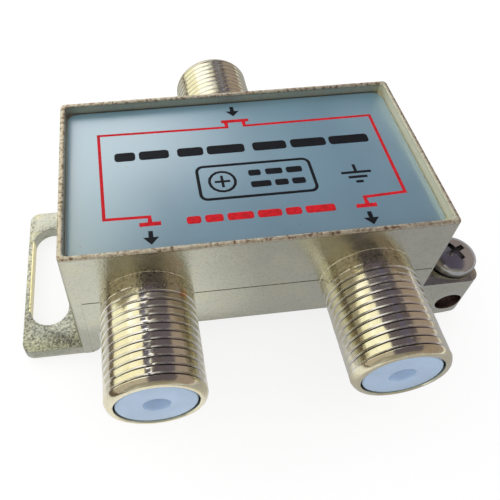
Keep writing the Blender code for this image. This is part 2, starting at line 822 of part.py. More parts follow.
def resistor():
    """The dumb-bell body of a small film resistor, across the two outputs."""
    half = RESISTOR_LENGTH / 2
    profile = [
        (0, -half),
        (RESISTOR_RADIUS - BODY_EDGE, -half),
        (RESISTOR_RADIUS, BODY_EDGE - half),
        (RESISTOR_RADIUS, RESISTOR_CAP - half),
        (RESISTOR_WAIST, RESISTOR_CAP + BODY_EDGE - half),
        (RESISTOR_WAIST, half - RESISTOR_CAP - BODY_EDGE),
        (RESISTOR_RADIUS, half - RESISTOR_CAP),
        (RESISTOR_RADIUS, half - BODY_EDGE),
        (RESISTOR_RADIUS - BODY_EDGE, half),
        (0, half),
    ]
    rise = RESISTOR_RADIUS + SEAT
    body = lying(turned(profile, BODY_FACETS), rise)
    leaded("isolation_resistor", body, "resistor_lacquer", (0, RESISTOR_Y), RESISTOR_SPAN, rise)


def capacitor(name, x, y):
    """A ceramic disc, upright on its two leads."""
    half = DISC_THICKNESS / 2
    profile = [
        (0, -half),
        (DISC_RADIUS - DISC_EDGE, -half),
        (DISC_RADIUS, -DISC_RIM / 2),
        (DISC_RADIUS, DISC_RIM / 2),
        (DISC_RADIUS - DISC_EDGE, half),
        (0, half),
    ]
    rise = DISC_RADIUS + SEAT
    body = turned(profile, SMALL_FACETS)
    bmesh.ops.rotate(body, verts=body.verts, matrix=Matrix.Rotation(pi / 2, 3, "X"))
    bmesh.ops.translate(body, verts=body.verts, vec=(0, 0, rise))
    leaded(name, body, "ceramic_disc", (x, y), DISC_SPAN, rise)


def lead_places():
    """Where each lead passes through the board: (x, y, radius)."""
    places = [(0, TAIL_Y, TAIL_RADIUS)]
    for side in (-1, 1):
        path = winding_path(side * CORE_X)
        places += [(end.x, end.y, WINDING_WIRE_RADIUS) for end in (path[0], path[-1])]
        path = choke_path(side)
        places += [(end.x, end.y, CHOKE_WIRE_RADIUS) for end in (path[0], path[-1])]
        places.append((side * SOCKET_SPACING / 2, -TAIL_Y, TAIL_RADIUS))
        places.append((side * RESISTOR_SPAN / 2, RESISTOR_Y, LEAD_RADIUS))
        places.append((INPUT_DISC_X + side * DISC_SPAN / 2, INPUT_DISC_Y, LEAD_RADIUS))
        for end in (-1, 1):
            diode_x = side * DIODE_X + end * DIODE_SPAN / 2
            disc_x = side * OUTPUT_DISC_X + end * DISC_SPAN / 2
            places.append((diode_x, 0, LEAD_RADIUS))
            places.append((disc_x, OUTPUT_DISC_Y, LEAD_RADIUS))
    return places


def circuit_board():
    board = placed(
        "circuit_board",
        extruded(
            rectangle(CAVITY_LENGTH - 2 * BOARD_GAP, CAVITY_DEPTH - 2 * BOARD_GAP, BOARD_CORNER),
            BOARD_THICKNESS,
        ),
        "board_laminate",
        (0, 0, BOARD_UNDERSIDE),
    )
    holes = bmesh.new()
    for x, y, radius in lead_places():
        one = rod(radius + LEAD_GAP, -PAST, BOARD_THICKNESS + PAST, HOLE_FACETS)
        bmesh.ops.translate(one, verts=one.verts, vec=(x, y, 0))
        mesh = bpy.data.meshes.new("hole")
        one.to_mesh(mesh)
        one.free()
        holes.from_mesh(mesh)
    combine(board, "DIFFERENCE", placed("lead_holes_cut", holes, parent=board))


def main():
    clear_scene()
    frames = socket_frames()
    housing(frames)
    label()
    back_cover()
    for name, frame in frames.items():
        port, _, side = name.partition("_")
        ending = "_" + side if side else ""
        insulator(f"{port}_insulator{ending}", frame)
        contact(f"{port}_contact{ending}", frame)
    ground_screw()
    circuit_board()
    for name, x in (("transformer", -CORE_X), ("divider", CORE_X)):
        two_hole_core(name + "_core", x)
        winding = wire(winding_path(x), WINDING_WIRE_RADIUS)
        placed(name + "_winding", winding, "enamelled_copper")
    resistor()
    capacitor("input_capacitor", INPUT_DISC_X, INPUT_DISC_Y)
    for ending, side in (("left", -1), ("right", 1)):
        capacitor("output_capacitor_" + ending, side * OUTPUT_DISC_X, OUTPUT_DISC_Y)
        coil = wire(choke_path(side), CHOKE_WIRE_RADIUS)
        placed("power_choke_" + ending, coil, "enamelled_copper")
        diode("power_diode_" + ending, side)


main()
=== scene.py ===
"""Coaxial splitter: the visual model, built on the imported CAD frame.

Shapes are modelled in millimetres and turned into metres when a piece is finished.
+X points from the screw ear to the earth terminal, +Y from the outputs to the input, +Z up.
"""

import math
import random

import bmesh
import bpy
from bpy.props import FloatProperty, FloatVectorProperty, IntProperty, PointerProperty
from mathutils import Matrix, Vector, noise


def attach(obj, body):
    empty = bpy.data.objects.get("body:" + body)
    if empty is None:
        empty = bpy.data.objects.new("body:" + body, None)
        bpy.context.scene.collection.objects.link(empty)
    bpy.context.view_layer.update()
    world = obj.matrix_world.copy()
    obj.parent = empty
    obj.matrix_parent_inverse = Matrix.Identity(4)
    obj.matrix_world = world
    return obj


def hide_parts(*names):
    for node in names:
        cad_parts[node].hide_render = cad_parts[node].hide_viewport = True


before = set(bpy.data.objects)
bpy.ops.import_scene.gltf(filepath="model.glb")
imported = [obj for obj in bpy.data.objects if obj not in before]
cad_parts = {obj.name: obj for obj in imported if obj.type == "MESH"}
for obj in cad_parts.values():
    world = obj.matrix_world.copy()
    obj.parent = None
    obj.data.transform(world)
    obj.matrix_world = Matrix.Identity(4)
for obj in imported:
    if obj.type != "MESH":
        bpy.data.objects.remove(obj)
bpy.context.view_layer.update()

bl_info = {
    "name": "Coaxial splitter",
    "version": (1, 0, 0),
    "blender": (4, 5, 0),
    "location": "View3D > Sidebar > Splitter",
    "description": "Builds a die cast two way coaxial splitter on its CAD frame",
    "category": "Object",
}

MM = 0.001
UPRIGHT = math.pi / 2

# In millimetres: places this near count as one, and a cutter stands this far out of what it cuts
NEAR = 0.01
PROUD = 1.0

# Degrees between two faces from which their edge is rounded
CREASE = 35


def length(name, millimetres, description):
    """A length property, given in millimetres and kept in metres."""
    return FloatProperty(
        name=name,
        description=description,
        default=millimetres * MM,
        min=0.0,
        precision=5,
        subtype="DISTANCE",
        unit="LENGTH",
    )


def colour(name, values, description):
    """A linear colour property."""
    return FloatVectorProperty(
        name=name,
        description=description,
        default=values,
        size=3,
        min=0.0,
        max=1.0,
        subtype="COLOR",
    )


class CastingSizes(bpy.types.PropertyGroup):
    """Sizes of the die cast box."""

    body_length: length("Body length", 38.1, "Box without ear and terminal")
    body_depth: length("Body depth", 21.5, "Box without sockets")
    body_top: length("Body height", 18.2, "Mounting plane to rim")
    corner_round: length("Corner rounding", 0.5, "Upright corners of the box")
    foot_height: length("Foot height", 4.5, "Underside above the mounting plane")
    foot_width: length("Foot width", 2.25, "Width of each end wall below the box")
    foot_curve: length("Foot curve", 1.5, "Inner corners of the feet")
    pocket_length: length("Pocket length", 32.7, "Place of the back cover, along the box")
    pocket_width: length("Pocket width", 19.7, "Place of the back cover, across the box")
    pocket_depth: length("Pocket depth", 0.8, "Underside to the seat of the back cover")
    pocket_seat: length("Pocket seat", 0.6, "Width of the back cover's seat")
    pocket_round: length("Pocket rounding", 1.0, "Upright corners of pocket and cavity")
    cavity_roof: length("Cavity roof", 15.6, "Mounting plane to the top of the cavity")
    rim_width: length("Rim width", 0.55, "Rim round the label")
    recess_depth: length("Recess depth", 1.3, "Rim to the floor under the label")
    recess_round: length("Recess rounding", 0.4, "Upright corners of the recess")
    edge_round: length("Edge rounding", 0.14, "Soft edges of the casting")
    rim_round: length("Rim rounding", 0.24, "Both edges of the rim")
    ear_reach: length("Ear reach", 6.35, "Ear beyond the box")
    ear_thickness: length("Ear thickness", 1.5, "Thickness of the screw ear")
    ear_setback: length("Ear setback", 1.75, "Box's back to the ear's back")
    ear_corner: length("Ear corner", 1.2, "Outer corners of the screw ear")
    ear_round: length("Ear rounding", 0.16, "Soft edges of the screw ear")
    slot_width: length("Slot width", 4.4, "Width of the slot in the ear")
    slot_length: length("Slot length", 13.8, "Length of the slot in the ear")
    slot_edge: length("Slot edge", 0.65, "Ear's end to the slot")
    slot_setback: length("Slot setback", 3.2, "Box's front to the slot")
    terminal_reach: length("Terminal reach", 6.35, "Earth terminal beyond the box")
    terminal_depth: length("Terminal depth", 6.0, "Earth terminal along the box")
    terminal_top: length("Terminal height", 6.9, "Earth terminal above the mounting plane")
    terminal_corner: length("Terminal corner", 1.3, "Outer upright corners of the earth terminal")
    terminal_under: length("Terminal underside", 0.7, "Outer lower edges of the earth terminal")
    terminal_round: length("Terminal rounding", 0.12, "Soft edges of the earth terminal")
    hole_reach: length("Hole reach", 4.05, "Box to both holes of the earth terminal")
    wire_radius: length("Wire hole radius", 1.5, "Hole for the earth wire")
    wire_height: length("Wire hole height", 2.7, "Its axis above the mounting plane")
    tap_radius: length("Screw hole radius", 1.4, "Hole for the clamping screw")
    front_step: length("Front step", 0.05, "Box's front to the front of ear and terminal")
    root: length("Root", 1.0, "Ear and terminal inside the end walls")
    root_lift: length("Root lift", 0.3, "Underside of a root above the mounting plane")
    parting_level: length("Parting level", 10.5, "Line of the die along the front, from below")
    parting_side: length("Parting side", 17.8, "Line of the die down the front, from the middle")
    level_width: length("Level width", 0.16, "Width of the line along the front")
    side_width: length("Side width", 0.14, "Width of the line down the front")
    parting_depth: length("Parting depth", 0.07, "Depth of both lines")


class SocketSizes(bpy.types.PropertyGroup):
    """Sizes that the three threaded sockets share."""

    radius: length("Thread radius", 4.7, "Over the ridges of the thread")
    reach: length("Length", 11.0, "From the wall to the lip")
    height: length("Height", 10.5, "Axis above the mounting plane")
    spacing: length("Spacing", 22.5, "Between the two output axes")
    neck: length("Neck", 1.3, "As cast length next to the wall")
    lip: length("Lip", 0.72, "Smooth rounded length at the mouth")
    bore: length("Bore radius", 3.88, "Hole for the insulator")
    passage: length("Passage radius", 1.7, "Hole through the wall of the box")
    root: length("Root", 0.9, "Socket inside the wall of the box")
    flare: length("Flare", 0.07, "Fillet where the neck meets the wall")
    pitch: length("Thread pitch", 0.794, "Ridge to ridge, 32 to the inch")
    groove: length("Groove depth", 0.36, "Ridge to groove")
    burr: length("Burrs", 0.07, "Height of the burrs along the seam")
    seam: FloatProperty(
        name="Seam",
        description="Where the burrs of the die's seam lie round the socket",
        default=math.radians(94),
        subtype="ANGLE",
        unit="ROTATION",
    )
    steps: IntProperty(name="Steps", description="Facets round a socket", default=120, min=24)


class LabelSizes(bpy.types.PropertyGroup):
    """Sizes of the foil label and its print."""

    length: length("Label length", 36.7, "Along the box")
    depth: length("Label depth", 20.1, "Across the box")
    underside: length("Underside", 16.95, "Height of the glued side")
    thickness: length("Thickness", 0.15, "Foil and its backing")
    corner: length("Label corner", 1.1, "Rounded corners")
    line: length("Line width", 0.48, "Width of the printed circuit line")
    thin_line: length("Thin line width", 0.34, "Width of the frame and the earth symbol")
    ring_line: length("Ring line width", 0.3, "Width of the ring and its cross")


class ScrewSizes(bpy.types.PropertyGroup):
    """Sizes of the clamping screw."""

    radius: length("Shaft radius", 1.25, "Over the ridges of the thread")
    reach: length("Shaft length", 5.0, "Under the head")
    pitch: length("Pitch", 0.45, "Ridge to ridge")
    head: length("Head radius", 2.5, "Pan head")
    rise: length("Head height", 1.75, "Pan head")
    cross: length("Cross span", 2.6, "Cross recess, tip to tip")
    cross_width: length("Cross width", 0.62, "Width of each arm of the cross recess")
    cross_depth: length("Cross depth", 1.1, "Depth of the cross recess")
    seat: length("Seat gap", 0.15, "Terminal's top to the head's underside")


class Finishes(bpy.types.PropertyGroup):
    """Colours of the finishes."""

    casting: colour("Casting", (0.62, 0.62, 0.51), "Nickel plated zinc, as cast")
    thread: colour("Sockets", (0.88, 0.83, 0.62), "Nickel plated zinc, polished by the thread die")
    foil: colour("Label", (0.118, 0.305, 0.42), "Blue film")
    black: colour("Black print", (0.008, 0.009, 0.013), "Printed marks")
    red: colour("Red print", (0.58, 0.004, 0.012), "Printed circuit line")
    plastic: colour("Insulators", (0.45, 0.59, 0.78), "Milky plastic")
    screw: colour("Screw", (0.64, 0.65, 0.64), "Bright zinc plating")
    tin: colour("Back cover", (0.62, 0.62, 0.60), "Dull tin plating")
    floor: colour("Floor", (0.93, 0.93, 0.93), "Pale floor")


def sizes(group):
    """The group's values, lengths in millimetres, by their names."""
    values = getattr(bpy.context.scene, group)
    found = {}
    for key in values.__annotations__:
        value = getattr(values, key)
        is_length = values.bl_rna.properties[key].subtype == "DISTANCE"
        found[key] = value / MM if is_length else value
    return found


def finish_colour(key):
    """The colour of a finish, as the user set it."""
    return tuple(getattr(bpy.context.scene.splitter_finishes, key))


# Mesh helpers, all in millimetres


def only(items, kind):
    """The items of one kind, such as the vertices that an operator made."""
    return [item for item in items if isinstance(item, kind)]


def push_faces(shape, faces, offset):
    """Extrudes the faces by the offset and returns all that grew."""
    grown = bmesh.ops.extrude_face_region(shape, geom=faces)["geom"]
    bmesh.ops.translate(shape, verts=only(grown, bmesh.types.BMVert), vec=offset)
    return grown


def raise_face(shape, face, offset):
    """Moves one face by the offset, grows walls after it and returns the moved face."""
    grown = push_faces(shape, [face], offset)
    bmesh.ops.delete(shape, geom=[face], context="FACES_ONLY")
    return only(grown, bmesh.types.BMFace)[0]


def solid(points, low, high):
    """A block with its outline through the (x, y) points, between two levels."""
    shape = bmesh.new()
    shape.faces.new([shape.verts.new((x, y, low)) for x, y in points])
    push_faces(shape, list(shape.faces), (0, 0, high - low))
    bmesh.ops.recalc_face_normals(shape, faces=shape.faces)
    return shape


def box_points(low_x, low_y, high_x, high_y):
    """The corners of a rectangle."""
    return [(low_x, low_y), (high_x, low_y), (high_x, high_y), (low_x, high_y)]


def move(shape, offset):
    """Moves the whole shape."""
    bmesh.ops.translate(shape, verts=shape.verts, vec=offset)


def turn(shape, angle, axis):
    """Turns the whole shape about one axis."""
    bmesh.ops.rotate(shape, verts=shape.verts, matrix=Matrix.Rotation(angle, 3, axis))


def bevel(shape, edges, offset, segments):
    """Rounds the edges."""
    bmesh.ops.bevel(
        shape,
        geom=edges,
        offset=offset,
        offset_type="OFFSET",
        segments=segments,
        profile=0.5,
        affect="EDGES",
        clamp_overlap=True,
        material=-1,
    )


def upright_edges(shape, test):
    """Edges along Z whose middle passes the test."""
    found = []
    for edge in shape.edges:
        a, b = (vert.co for vert in edge.verts)
        if (a.xy - b.xy).length < 1e-4 and abs(a.z - b.z) > 1e-3 and test((a + b) / 2):
            found.append(edge)
    return found


def sharp_edges(shape, test):
    """Sharp edges whose middle passes the test."""
    found = []
    for edge in shape.edges:
        if len(edge.link_faces) != 2 or edge.calc_face_angle(0.0) < math.radians(CREASE):
            continue
        if test((edge.verts[0].co + edge.verts[1].co) / 2):
            found.append(edge)
    return found


def turned(profile, steps, hollow=False):
    """The (radius, height) profile spun round Z. A hollow one is a closed loop off the axis."""
    shape = bmesh.new()
    points = [shape.verts.new((radius, 0.0, height)) for radius, height in profile]
    edges = [shape.edges.new(pair) for pair in zip(points, points[1:])]
    if hollow:
        edges.append(shape.edges.new((points[-1], points[0])))
    bmesh.ops.spin(
        shape,
        geom=points + edges,
        cent=(0, 0, 0),
        axis=(0, 0, 1),
        angle=math.tau,
        steps=steps,
        use_merge=True,
    )
    bmesh.ops.remove_doubles(shape, verts=shape.verts, dist=1e-4)
    bmesh.ops.recalc_face_normals(shape, faces=shape.faces)
    return shape


def arc(centre, radius, start, end, steps):
    """Points of an arc in the (radius, height) plane, angles in degrees."""
    points = []
    for step in range(steps + 1):
        angle = math.radians(start + (end - start) * step / steps)
        points.append((centre[0] + radius * math.cos(angle), centre[1] + radius * math.sin(angle)))
    return points


def rod(radius, low, high, steps):
    """A closed cylinder on Z, between two levels."""
    return turned([(0, low), (radius, low), (radius, high), (0, high)], steps)


def as_mesh(name, shape):
    """A mesh with all that the shape holds. The shape is freed."""
    mesh = bpy.data.meshes.new(name)
    shape.to_mesh(mesh)
    shape.free()
    return mesh


def in_scene(name, data):
    """A new object in the scene."""
    made = bpy.data.objects.new(name, data)
    bpy.context.scene.collection.objects.link(made)
    return made


def join(shape, other):
    """Adds the other mesh to the shape and frees it."""
    carrier = as_mesh("carrier", other)
    shape.from_mesh(carrier)
    bpy.data.meshes.remove(carrier)


def carved(shape, cutters):
    """The shape with the cutters taken out of it."""
    target, *helpers = (in_scene("holder", as_mesh("holder", item)) for item in (shape, *cutters))
    for helper in helpers:
        step = target.modifiers.new("cut", "BOOLEAN")
        step.operation = "DIFFERENCE"
        step.solver = "EXACT"
        step.object = helper
    bpy.context.view_layer.update()
    whole = target.evaluated_get(bpy.context.evaluated_depsgraph_get())
    result = bmesh.new()
    result.from_mesh(whole.to_mesh())
    whole.to_mesh_clear()
    for item in (target, *helpers):
        mesh = item.data
        bpy.data.objects.remove(item)
        bpy.data.meshes.remove(mesh)
    bmesh.ops.remove_doubles(result, verts=result.verts, dist=1e-4)
    return result


# One pitch of a thread, as (share of the pitch, share of the depth): a broad land and a narrow groove.
# Points close to the land's edges let it shade flat.
THREAD_PROFILE = (
    (0.00, 0.00),
    (0.04, 0.00),
    (0.31, 0.00),
    (0.58, 0.00),
    (0.62, 0.00),
    (0.66, 0.14),
    (0.77, 0.90),
    (0.81, 1.00),
    (0.85, 0.90),
    (0.96, 0.14),
    (1.00, 0.00),
)


def thread(radius, groove, pitch, low, high, steps, inner, fade):
    """A closed threaded sleeve between two levels: a one pitch profile swept up a helix.

    The groove fades out over the fade lengths, one for the low end and one for the high end.
    """
    shape = bmesh.new()
    start = low - pitch
    points = [
        shape.verts.new((radius - groove * deep, 0.0, start + pitch * up)) for up, deep in THREAD_PROFILE
    ]
    edges = [shape.edges.new(pair) for pair in zip(points, points[1:])]
    turns = math.ceil((high - start) / pitch) + 1
    bmesh.ops.spin(
        shape,
        geom=points + edges,
        cent=(0, 0, 0),
        axis=(0, 0, 1),
        dvec=(0, 0, pitch / steps),
        angle=math.tau * turns,
        steps=steps * turns,
        use_merge=False,
    )
    bmesh.ops.remove_doubles(shape, verts=shape.verts, dist=1e-3)
    for vert in shape.verts:
        ragged = 0.25 * noise.noise(vert.co * 1.3)
        near = min((vert.co.z - low) / fade[0] + ragged, (high - vert.co.z) / fade[1])
        share = max(0.0, min(1.0, near))
        share = share * share * (3 - 2 * share)
        distance = vert.co.xy.length
        wanted = radius - (radius - distance) * share
        vert.co.x *= wanted / distance
        vert.co.y *= wanted / distance
    for level, up in ((low, -1), (high, 1)):
        bmesh.ops.bisect_plane(
            shape,
            geom=list(shape.verts) + list(shape.edges) + list(shape.faces),
            dist=1e-4,
            plane_co=(0, 0, level),
            plane_no=(0, 0, up),
            clear_outer=True,
        )
    rings = []
    for level in (low, high):
        rim = [
            edge
            for edge in shape.edges
            if edge.is_boundary and max(abs(vert.co.z - level) for vert in edge.verts) < 1e-3
        ]
        grown = bmesh.ops.extrude_edge_only(shape, edges=rim)["geom"]
        for vert in only(grown, bmesh.types.BMVert):
            vert.co.xy = vert.co.xy.normalized() * inner
        rings += only(grown, bmesh.types.BMEdge)
    bmesh.ops.bridge_loops(shape, edges=rings)
    bmesh.ops.recalc_face_normals(shape, faces=shape.faces)
    return shape


def finish(name, shape, material, replaced, body="splitter", crease=32):
    """Turns the mesh into a piece in metres, smooth but for its creases, on its body."""
    bmesh.ops.recalc_face_normals(shape, faces=shape.faces)
    bmesh.ops.scale(shape, vec=(MM, MM, MM), verts=shape.verts)
    mesh = as_mesh(name, shape)
    mesh.shade_smooth()
    mesh.set_sharp_from_angle(angle=math.radians(crease))
    mesh.materials.append(material)
    made = in_scene(name, mesh)
    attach(made, body)
    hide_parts(*replaced)
    return made


# Materials


def feed(tree, socket, content):
    """Links the socket to an output, or sets its value. A colour is given without its alpha."""
    if isinstance(content, bpy.types.NodeSocket):
        tree.links.new(content, socket)
    elif socket.type == "RGBA":
        socket.default_value = (*content, 1.0)
    else:
        socket.default_value = content


def add(tree, kind, inputs=None, **settings):
    """A new node with its settings, and with its inputs fed from a dict."""
    made = tree.nodes.new("ShaderNode" + kind)
    for key, value in settings.items():
        setattr(made, key, value)
    for socket, content in (inputs or {}).items():
        feed(tree, made.inputs[socket], content)
    return made


def ramp(tree, source, stops):
    """A colour ramp over the source, its stops given as (place, colour)."""
    made = add(tree, "ValToRGB", inputs={0: source})
    band = made.color_ramp
    while len(band.elements) < len(stops):
        band.elements.new(0.5)
    for element, (place, value) in zip(band.elements, stops):
        element.position = place
        if isinstance(value, (int, float)):
            value = (value, value, value)
        element.color = (*value, 1.0)
    return made.outputs["Color"]


def mix(tree, share, first, second, kind="MIX"):
    """The two colours mixed by the share."""
    return add(tree, "Mix", data_type="RGBA", blend_type=kind,
               inputs={0: share, 6: first, 7: second}).outputs[2]


def maths(tree, operation, *values):
    """The result of a sum on the values."""
    return add(tree, "Math", operation=operation, inputs=dict(enumerate(values))).outputs[0]


def product(tree, *values):
    """All values multiplied."""
    result = values[0]
    for value in values[1:]:
        result = maths(tree, "MULTIPLY", result, value)
    return result


def map_range(tree, value, start, end, low=0.0, high=1.0):
    """Goes from low to high while the value goes from start to end."""
    return add(tree, "MapRange", inputs={"Value": value, "From Min": start, "From Max": end,
                                         "To Min": low, "To Max": high}).outputs["Result"]


def within(tree, value, centre, reach):
    """1 where the value lies within the reach of the centre, both in millimetres, else 0."""
    off = maths(tree, "ABSOLUTE", maths(tree, "SUBTRACT", value, centre * MM))
    return maths(tree, "LESS_THAN", off, reach * MM)


def away(tree, place, centre):
    """How far the place lies from the centre, which is given in millimetres."""
    centre = tuple(value * MM for value in centre)
    return add(tree, "VectorMath", operation="DISTANCE", inputs={0: place, 1: centre}).outputs["Value"]


def cloud(tree, place, scale, detail, **others):
    """A noise pattern between 0 and 1."""
    values = {"Vector": place, "Scale": scale, "Detail": detail}
    values.update({key.title(): value for key, value in others.items()})
    return add(tree, "TexNoise", inputs=values).outputs["Fac"]


def group_sockets(tree, inputs, outputs):
    """Makes the group's sockets and returns its input and output nodes."""
    for name, kind, value in inputs:
        socket = tree.interface.new_socket(name=name, in_out="INPUT", socket_type=kind)
        if value is not None:
            socket.default_value = value
    for name, kind in outputs:
        tree.interface.new_socket(name=name, in_out="OUTPUT", socket_type=kind)
    return tree.nodes.new("NodeGroupInput"), tree.nodes.new("NodeGroupOutput")


def cast_grain_group():
    """Grain of plated metal: blotches of tone, a fine grain, pits and the height of all that."""
    found = bpy.data.node_groups.get("cast_grain")
    if found:
        return found
    tree = bpy.data.node_groups.new("cast_grain", "ShaderNodeTree")
    entry, leave = group_sockets(
        tree,
        (
            ("Vector", "NodeSocketVector", None),
            ("Grain Scale", "NodeSocketFloat", 3500.0),
            ("Blotch Scale", "NodeSocketFloat", 320.0),
            ("Pit Scale", "NodeSocketFloat", 900.0),
            ("Pit Share", "NodeSocketFloat", 0.12),
        ),
        (
            ("Grain", "NodeSocketFloat"),
            ("Blotch", "NodeSocketFloat"),
            ("Pit", "NodeSocketFloat"),
            ("Height", "NodeSocketFloat"),
        ),
    )
    place = entry.outputs["Vector"]
    grain = cloud(tree, place, entry.outputs["Grain Scale"], 3.0, roughness=0.6)
    blotch = cloud(tree, place, entry.outputs["Blotch Scale"], 4.0, roughness=0.55)
    cells = add(tree, "TexVoronoi", feature="F1", inputs={"Vector": place,
                                                          "Scale": entry.outputs["Pit Scale"]})
    pit = map_range(tree, cells.outputs["Distance"], 0.0, entry.outputs["Pit Share"], 1.0, 0.0)
    chosen = maths(tree, "GREATER_THAN", cells.outputs["Color"], 0.62)
    pitted = product(tree, pit, chosen)
    height = maths(tree, "SUBTRACT", maths(tree, "MULTIPLY_ADD", blotch, 0.08, grain), pitted)
    for key, value in (("Grain", grain), ("Blotch", blotch), ("Pit", pitted), ("Height", height)):
        feed(tree, leave.inputs[key], value)
    return tree


def new_material(name, metallic=0.0, roughness=0.4):
    """A material with its Principled shader set, its tree, shader and Object coordinates."""
    made = bpy.data.materials.new(name)
    made.use_nodes = True
    tree = made.node_tree
    shader = tree.nodes["Principled BSDF"]
    shader.inputs["Metallic"].default_value = metallic
    shader.inputs["Roughness"].default_value = roughness
    place = add(tree, "TexCoord").outputs["Object"]
    return made, tree, shader, place


def paint(tree, shader, tone=None, roughness=None, height=None, depth=0.0):
    """Feeds the shader's colour, its roughness and a bump of the given depth in metres."""
    if tone is not None:
        feed(tree, shader.inputs["Base Color"], tone)
    if roughness is not None:
        feed(tree, shader.inputs["Roughness"], roughness)
    if height is not None:
        bumped = add(tree, "Bump", inputs={"Height": height, "Distance": depth, "Strength": 1.0})
        feed(tree, shader.inputs["Normal"], bumped.outputs["Normal"])


def grain_of(tree, place, grain, blotch, pit, share):
    """The grain group with its scales and the share of pits: its four outputs by their names."""
    made = tree.nodes.new("ShaderNodeGroup")
    made.node_tree = cast_grain_group()
    for key, value in (("Vector", place), ("Grain Scale", grain), ("Blotch Scale", blotch),
                       ("Pit Scale", pit), ("Pit Share", share)):
        feed(tree, made.inputs[key], value)
    return made.outputs


def shade(values, factor):
    """A lighter or darker colour."""
    return tuple(min(1.0, value * factor) for value in values)


def two_tone(tree, source, base, low, high, places=(0.35, 0.65)):
    """The base colour, darker by the low factor to lighter by the high one."""
    return ramp(tree, source, list(zip(places, (shade(base, low), shade(base, high)))))


def spot(tree, place, centre, radius):
    """1 at the centre, given in millimetres, and 0 from the radius on, with a ragged edge."""
    ragged = cloud(tree, place, 2200.0, 3.0)
    reach = maths(tree, "MULTIPLY_ADD", ragged, radius * MM, away(tree, place, centre))
    return map_range(tree, reach, radius * 1.35 * MM, radius * 0.75 * MM)


def ear_shade_and_highlight(tree, split, grain, tone):
    """Blotchy darkening at the ear's front and outer side, as painted shade, and a painted highlight along
    the edge of its slot.
    """
    size = sizes("splitter_casting")
    end = -size["body_length"] / 2 - size["ear_reach"]
    front = -size["body_depth"] / 2
    edge = end + size["slot_edge"]
    slot_middle = front + size["slot_setback"] + size["slot_length"] / 2
    across = split["X"]
    along = split["Y"]
    # Painted shade: the casting darkened in blotches towards the ear's front and outer end
    dull = ramp(tree, grain, ((0.38, 0.42), (0.50, 0.70), (0.62, 1.0)))
    near_front = map_range(tree, along, 4 * MM, -6 * MM)
    near_side = map_range(tree, across, (end + 0.8) * MM, (end + 0.4) * MM)
    share = maths(tree, "MAXIMUM", near_front, product(tree, near_side, 0.9))
    share = product(tree, share, maths(tree, "GREATER_THAN", along, (front + 0.25) * MM))
    tone = mix(tree, share, tone, mix(tree, 1.0, tone, dull, "MULTIPLY"))
    # Painted highlight: a pale gold line along the outer edge of the slot
    bright = product(tree, within(tree, across, edge, 0.18), within(tree, along, slot_middle, 5.0))
    return mix(tree, bright, tone, (0.98, 0.88, 0.50))


def casting_material(name, base, mottle, depth, low, high):
    """Nickel plated zinc as cast: satin, with a fine grain, a few pits and a speckled rim, painted shade in
    the wire hole and a painted reflection on the right wall of the recess.
    """
    size = sizes("splitter_casting")
    half = size["body_length"] / 2
    deep = size["body_depth"] / 2
    top = size["body_top"]
    made, tree, shader, place = new_material(name, 1.0)
    split = add(tree, "SeparateXYZ", inputs={0: place}).outputs
    grain = grain_of(tree, place, 3600.0, 420.0, 520.0, 0.09)

    green = (base[0] * (1 - mottle), base[1] * (1 - mottle * 0.8), base[2] * (1 - mottle))
    gold = (base[0] * (1 + mottle), base[1] * (1 + mottle * 0.7), base[2] * (1 - mottle * 0.6))
    tone = ramp(tree, grain["Blotch"], ((0.36, green), (0.5, base), (0.64, gold)))
    speck = ramp(tree, grain["Grain"], ((0.28, 0.92 - mottle * 1.5), (0.50, 1.0)))
    tone = mix(tree, 1.0, tone, speck, "MULTIPLY")
    tone = mix(tree, grain["Pit"], tone, (0.16, 0.11, 0.08))
    if name.endswith("ear"):
        # The ear gets painted shade and a painted highlight
        tone = ear_shade_and_highlight(tree, split, grain["Grain"], tone)

    rim = map_range(tree, split["Z"], (top - 0.25) * MM, (top - 0.08) * MM)
    speckle = cloud(tree, place, 2600.0, 4.0, roughness=0.7)
    worn = ramp(tree, speckle, ((0.38, (0.34, 0.23, 0.16)), (0.47, (0.80, 0.70, 0.52)),
                                (0.60, (0.95, 0.90, 0.74))))
    tone = mix(tree, rim, tone, worn)

    # Painted shade inside the wire hole: the casting darkened there
    flat = add(tree, "CombineXYZ", inputs={"X": split["X"], "Z": split["Z"]}).outputs[0]
    axis = (half + size["hole_reach"], 0.0, size["wire_height"])
    hole = maths(tree, "LESS_THAN", away(tree, flat, axis), (size["wire_radius"] + 0.03) * MM)
    hole = product(tree, hole, maths(tree, "LESS_THAN", split["Z"], 4.3 * MM))
    tone = mix(tree, hole, tone, (0.42, 0.34, 0.31))

    recess_floor = top - size["recess_depth"]
    raised = maths(tree, "GREATER_THAN", split["Z"], (recess_floor - 0.1) * MM)
    inside = product(tree, within(tree, split["X"], 0.0, half - 0.3),
                     within(tree, split["Y"], 0.0, deep - 0.3), raised)
    # Painted reflection: the right wall of the recess is made pale
    right = product(tree, inside, maths(tree, "GREATER_THAN", split["X"], (half - 0.85) * MM))
    tone = mix(tree, right, tone, (0.98, 0.96, 0.82))

    matt = maths(tree, "MAXIMUM", maths(tree, "MAXIMUM", inside, rim), product(tree, right, 1.8))
    gloss = map_range(tree, grain["Blotch"], 0.3, 0.7, low, high)
    rough = maths(tree, "MULTIPLY_ADD", matt, 0.3, gloss)
    height = maths(tree, "MULTIPLY_ADD", product(tree, rim, speckle), 7.0, grain["Height"])
    paint(tree, shader, tone, rough, height, depth)
    return made


# Marks on the left output socket: place in millimetres, radius, strength and colour
SOCKET_MARKS = {
    "stain": ((-7.75, -12.6, 13.64), 0.85, 0.8, (0.95, 0.55, 0.33)),
    "scar": ((-8.35, -12.4, 14.18), 0.5, 0.8, (0.92, 0.90, 0.86)),
    "nick": ((-7.9, -19.95, 13.9), 0.45, 0.7, (0.45, 0.47, 0.47)),
}


